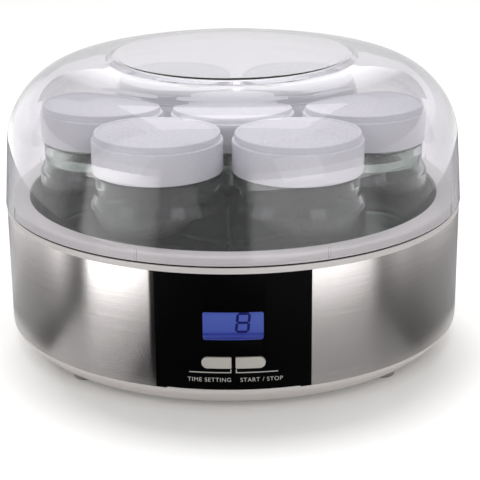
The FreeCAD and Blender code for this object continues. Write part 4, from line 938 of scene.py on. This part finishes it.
# light on the object, and the white that is seen
skyPlan = {"light": 0.42, "seen": 1.0}
world = bpy.data.worlds.new("paleStudio")
bpy.context.scene.world = world
world.use_nodes = True
sky = world.node_tree
sky.nodes.clear()
level = addNode(sky, "ShaderNodeMapRange", {
    "Value": shownRays(sky), "To Min": skyPlan["light"], "To Max": skyPlan["seen"]})
back = addNode(sky, "ShaderNodeBackground", {"Color": (1, 1, 1, 1), "Strength": level.outputs["Result"]})
addNode(sky, "ShaderNodeOutputWorld", {"Surface": back.outputs[0]})

# metres; the shadow lies towards the front and a little to the right, and the floor is lifted to white around it
floorPlan = {"size": 8, "shadow": (0.006, -0.05, 0), "near": 0.10, "far": 0.134, "liftNear": 0.12, "liftFar": 0.46}


def makeFloor(s):
    clearSelection()
    bpy.ops.mesh.primitive_plane_add(size=s["size"])
    floor = bpy.context.object
    floor.name = "floor"
    material, tree, place = newMaterial("whitePaperFloor")
    fibre = addNode(tree, "ShaderNodeTexNoise", {"Vector": place, "Scale": 1 / (30 * mm), "Detail": 2.0})
    tone = addNode(tree, "ShaderNodeMix", {
        "Factor": fibre.outputs["Fac"], "A": linear("#F0EFED"), "B": linear("#F3F2F0")}, data_type="RGBA")
    paper = addNode(tree, "ShaderNodeBsdfDiffuse", {"Color": tone.outputs["Result"]})
    reach = addNode(tree, "ShaderNodeVectorMath", {0: place, 1: s["shadow"]}, operation="DISTANCE")
    away = addNode(tree, "ShaderNodeMapRange", {
        "Value": reach.outputs["Value"], "From Min": s["near"], "From Max": s["far"],
        "To Min": s["liftNear"], "To Max": s["liftFar"]})
    lift = addNode(tree, "ShaderNodeMath", {0: shownRays(tree), 1: away.outputs["Result"]}, operation="MULTIPLY")
    glow = addNode(tree, "ShaderNodeEmission", {"Color": (1, 1, 1, 1), "Strength": lift.outputs[0]})
    showShader(tree, addNode(tree, "ShaderNodeAddShader", {0: paper.outputs[0], 1: glow.outputs[0]}))
    floor.data.materials.append(material)


makeFloor(floorPlan)

# flats on and round the table, seen only as reflections; each zone is an outline in metres with its brightness, its
# usual distance from the band, its darkest and brightest tone and the share of it that is kept past the sides;
# the tones run round the object: angle from the front, to the right, and share of the brightness
flatPlan = {
    "steps": 180, "radius": 0.125, "gap": 0.05, "side": 100,
    "zones": [
        {"line": [(0.135, 0.001), (0.5, 0.001)], "glow": 0.55, "reach": 0.2, "low": 0.22, "high": 1.4, "kept": 1.3},
        {"line": [(0.5, 0.001), (1.7, 0.001)], "glow": 1.9, "reach": 0.8, "low": 0.1, "high": 1.5, "kept": 1.2},
        {"line": [(1.7, 0.001), (1.7, 0.45)], "glow": 5.5, "reach": 1.65, "low": 0.0, "high": 1.5, "kept": 0.4},
        {"line": [(1.7, 0.45), (1.7, 0.75)], "glow": 3.0, "reach": 1.65, "low": 0.0, "high": 0.6, "kept": 1.0},
        {"line": [(1.7, 0.75), (1.7, 3.0)], "glow": 0.9, "reach": 1.65, "low": 0.0, "high": 1.2, "kept": 1.0},
    ],
    "tones": [
        (-180, 0.4), (-163, 0.4), (-150, 0.9), (-134, 0.95), (-123, 0.7), (-106, 0.58), (-93, 0.6), (-87.5, 0.36),
        (-82, 0.12), (-76, 0.1), (-72.5, 1.3), (-67, 1.5), (-58, 1.35), (-49, 1.02), (-41, 0.72), (-37, 0.5),
        (-34, 0.02), (6, 0.02), (10, 0.8), (44, 0.84), (52, 0.82), (60, 0.74), (68.5, 0.6), (71, 0.36), (75, 0.15),
        (88, 0.3), (101, 0.4), (112, 0.5), (133, 0.6), (147, 0.6), (164, 0.4), (180, 0.4)],
}
# bright card high behind the object for the streak on the cover's crown, fading upwards and to its sides
cardPlan = {
    "radius": 1.6, "low": 0.6, "high": 1.5, "half": 42, "steps": 42, "strength": 3.6, "topStrength": 0.3,
    "full": 0.05, "faded": 0.6, "fadedShare": 0.16,
}
# card above the object for the streak on the cover's shoulder
roofPlan = {"wide": 0.28, "front": 0.02, "back": 0.22, "low": 1.25, "high": 1.26, "strength": 3.2}


def showInReflections(piece, material):
    piece.data.materials.append(material)
    piece.visible_camera = piece.visible_diffuse = piece.visible_shadow = piece.visible_transmission = False


def flatAngle(turn, radius, reach):
    # where a ray that leaves the band's surface towards this angle meets the zone, seen from the axis
    half, full = math.radians(turn / 2), math.radians(turn)
    return math.degrees(math.atan2(radius * math.sin(half) + reach * math.sin(full),
                                   radius * math.cos(half) + reach * math.cos(full)))


def makeFlats(s):
    for index, zone in enumerate(s["zones"]):
        outline = [(radius / mm, height / mm) for radius, height in zone["line"]]
        flats = spinPiece(drawOutline("flats%d" % index, outline), s["steps"])
        material, tree, place = newMaterial("studioFlats%d" % index)
        axes = addNode(tree, "ShaderNodeSeparateXYZ", {"Vector": place})
        turned = addNode(tree, "ShaderNodeMath", {0: axes.outputs["Y"], 1: -1.0}, operation="MULTIPLY")
        angle = addNode(tree, "ShaderNodeMath", {
            0: axes.outputs["X"], 1: turned.outputs[0]}, operation="ARCTAN2")
        share = addNode(tree, "ShaderNodeMapRange", {
            "Value": angle.outputs[0], "From Min": -math.pi, "From Max": math.pi})
        ramp = addNode(tree, "ShaderNodeValToRGB", {"Fac": share.outputs["Result"]})
        stops = []
        for turn, tone in s["tones"]:
            # gaps between the flats stay dark in every zone
            grey = tone if tone < s["gap"] else min(max(tone, zone["low"]), zone["high"])
            if abs(turn) >= s["side"]:
                grey *= zone["kept"]
            spot = (flatAngle(turn, s["radius"], zone["reach"]) + 180) / 360
            stops.append((spot, (grey, grey, grey, 1)))
        setStops(ramp, stops)
        showShader(tree, addNode(tree, "ShaderNodeEmission", {
            "Color": ramp.outputs["Color"], "Strength": zone["glow"]}))
        showInReflections(flats, material)


def makeCard(s):
    card = spinPiece(drawOutline("card", [
        (s["radius"] / mm, s["low"] / mm), (s["radius"] / mm, s["high"] / mm)]), s["steps"], 2 * s["half"])
    card.rotation_euler.z = math.radians(90 + s["half"])
    choose(card)
    bpy.ops.object.transform_apply(location=True, rotation=True, scale=True)
    material, tree, place = newMaterial("studioCard")
    axes = addNode(tree, "ShaderNodeSeparateXYZ", {"Vector": place})
    fade = addNode(tree, "ShaderNodeMapRange", {
        "Value": axes.outputs["Z"], "From Min": s["low"], "From Max": s["high"],
        "To Min": s["strength"], "To Max": s["topStrength"]})
    aside = addNode(tree, "ShaderNodeMath", {0: axes.outputs["X"]}, operation="ABSOLUTE")
    thin = addNode(tree, "ShaderNodeMapRange", {
        "Value": aside.outputs[0], "From Min": s["full"], "From Max": s["faded"],
        "To Min": 1.0, "To Max": s["fadedShare"]}, interpolation_type="SMOOTHSTEP")
    glow = addNode(tree, "ShaderNodeMath", {
        0: fade.outputs["Result"], 1: thin.outputs["Result"]}, operation="MULTIPLY")
    showShader(tree, addNode(tree, "ShaderNodeEmission", {"Color": (1, 1, 1, 1), "Strength": glow.outputs[0]}))
    showInReflections(card, material)


def makeRoof(s):
    roof = block("roof", (-s["wide"] / mm, s["front"] / mm, s["low"] / mm),
                 (s["wide"] / mm, s["back"] / mm, s["high"] / mm))
    material, tree = newMaterial("studioRoof")[:2]
    showShader(tree, addNode(tree, "ShaderNodeEmission", {"Color": (1, 1, 1, 1), "Strength": s["strength"]}))
    showInReflections(roof, material)


makeFlats(flatPlan)
makeCard(cardPlan)
makeRoof(roofPlan)

cameraPlan = {
    "place": (0.00462, -0.82919, 0.33402), "turns": (70.977, 0.472, -0.089), "lens": 116.55, "sensor": 36.0,
}
eye = bpy.data.cameras.new("camera")
eye.lens, eye.sensor_width = cameraPlan["lens"], cameraPlan["sensor"]
eye.dof.use_dof = False
camera = bpy.data.objects.new("camera", eye)
camera.location = cameraPlan["place"]
camera.rotation_euler = [math.radians(turn) for turn in cameraPlan["turns"]]
bpy.context.scene.collection.objects.link(camera)
bpy.context.scene.camera = camera
bpy.context.scene.view_settings.view_transform = "Standard"
# enough bounces to see through the cover and several jars
bpy.context.scene.cycles.max_bounces = 28
bpy.context.scene.cycles.transmission_bounces = 28
bpy.context.scene.cycles.transparent_max_bounces = 32
print("studio ready")
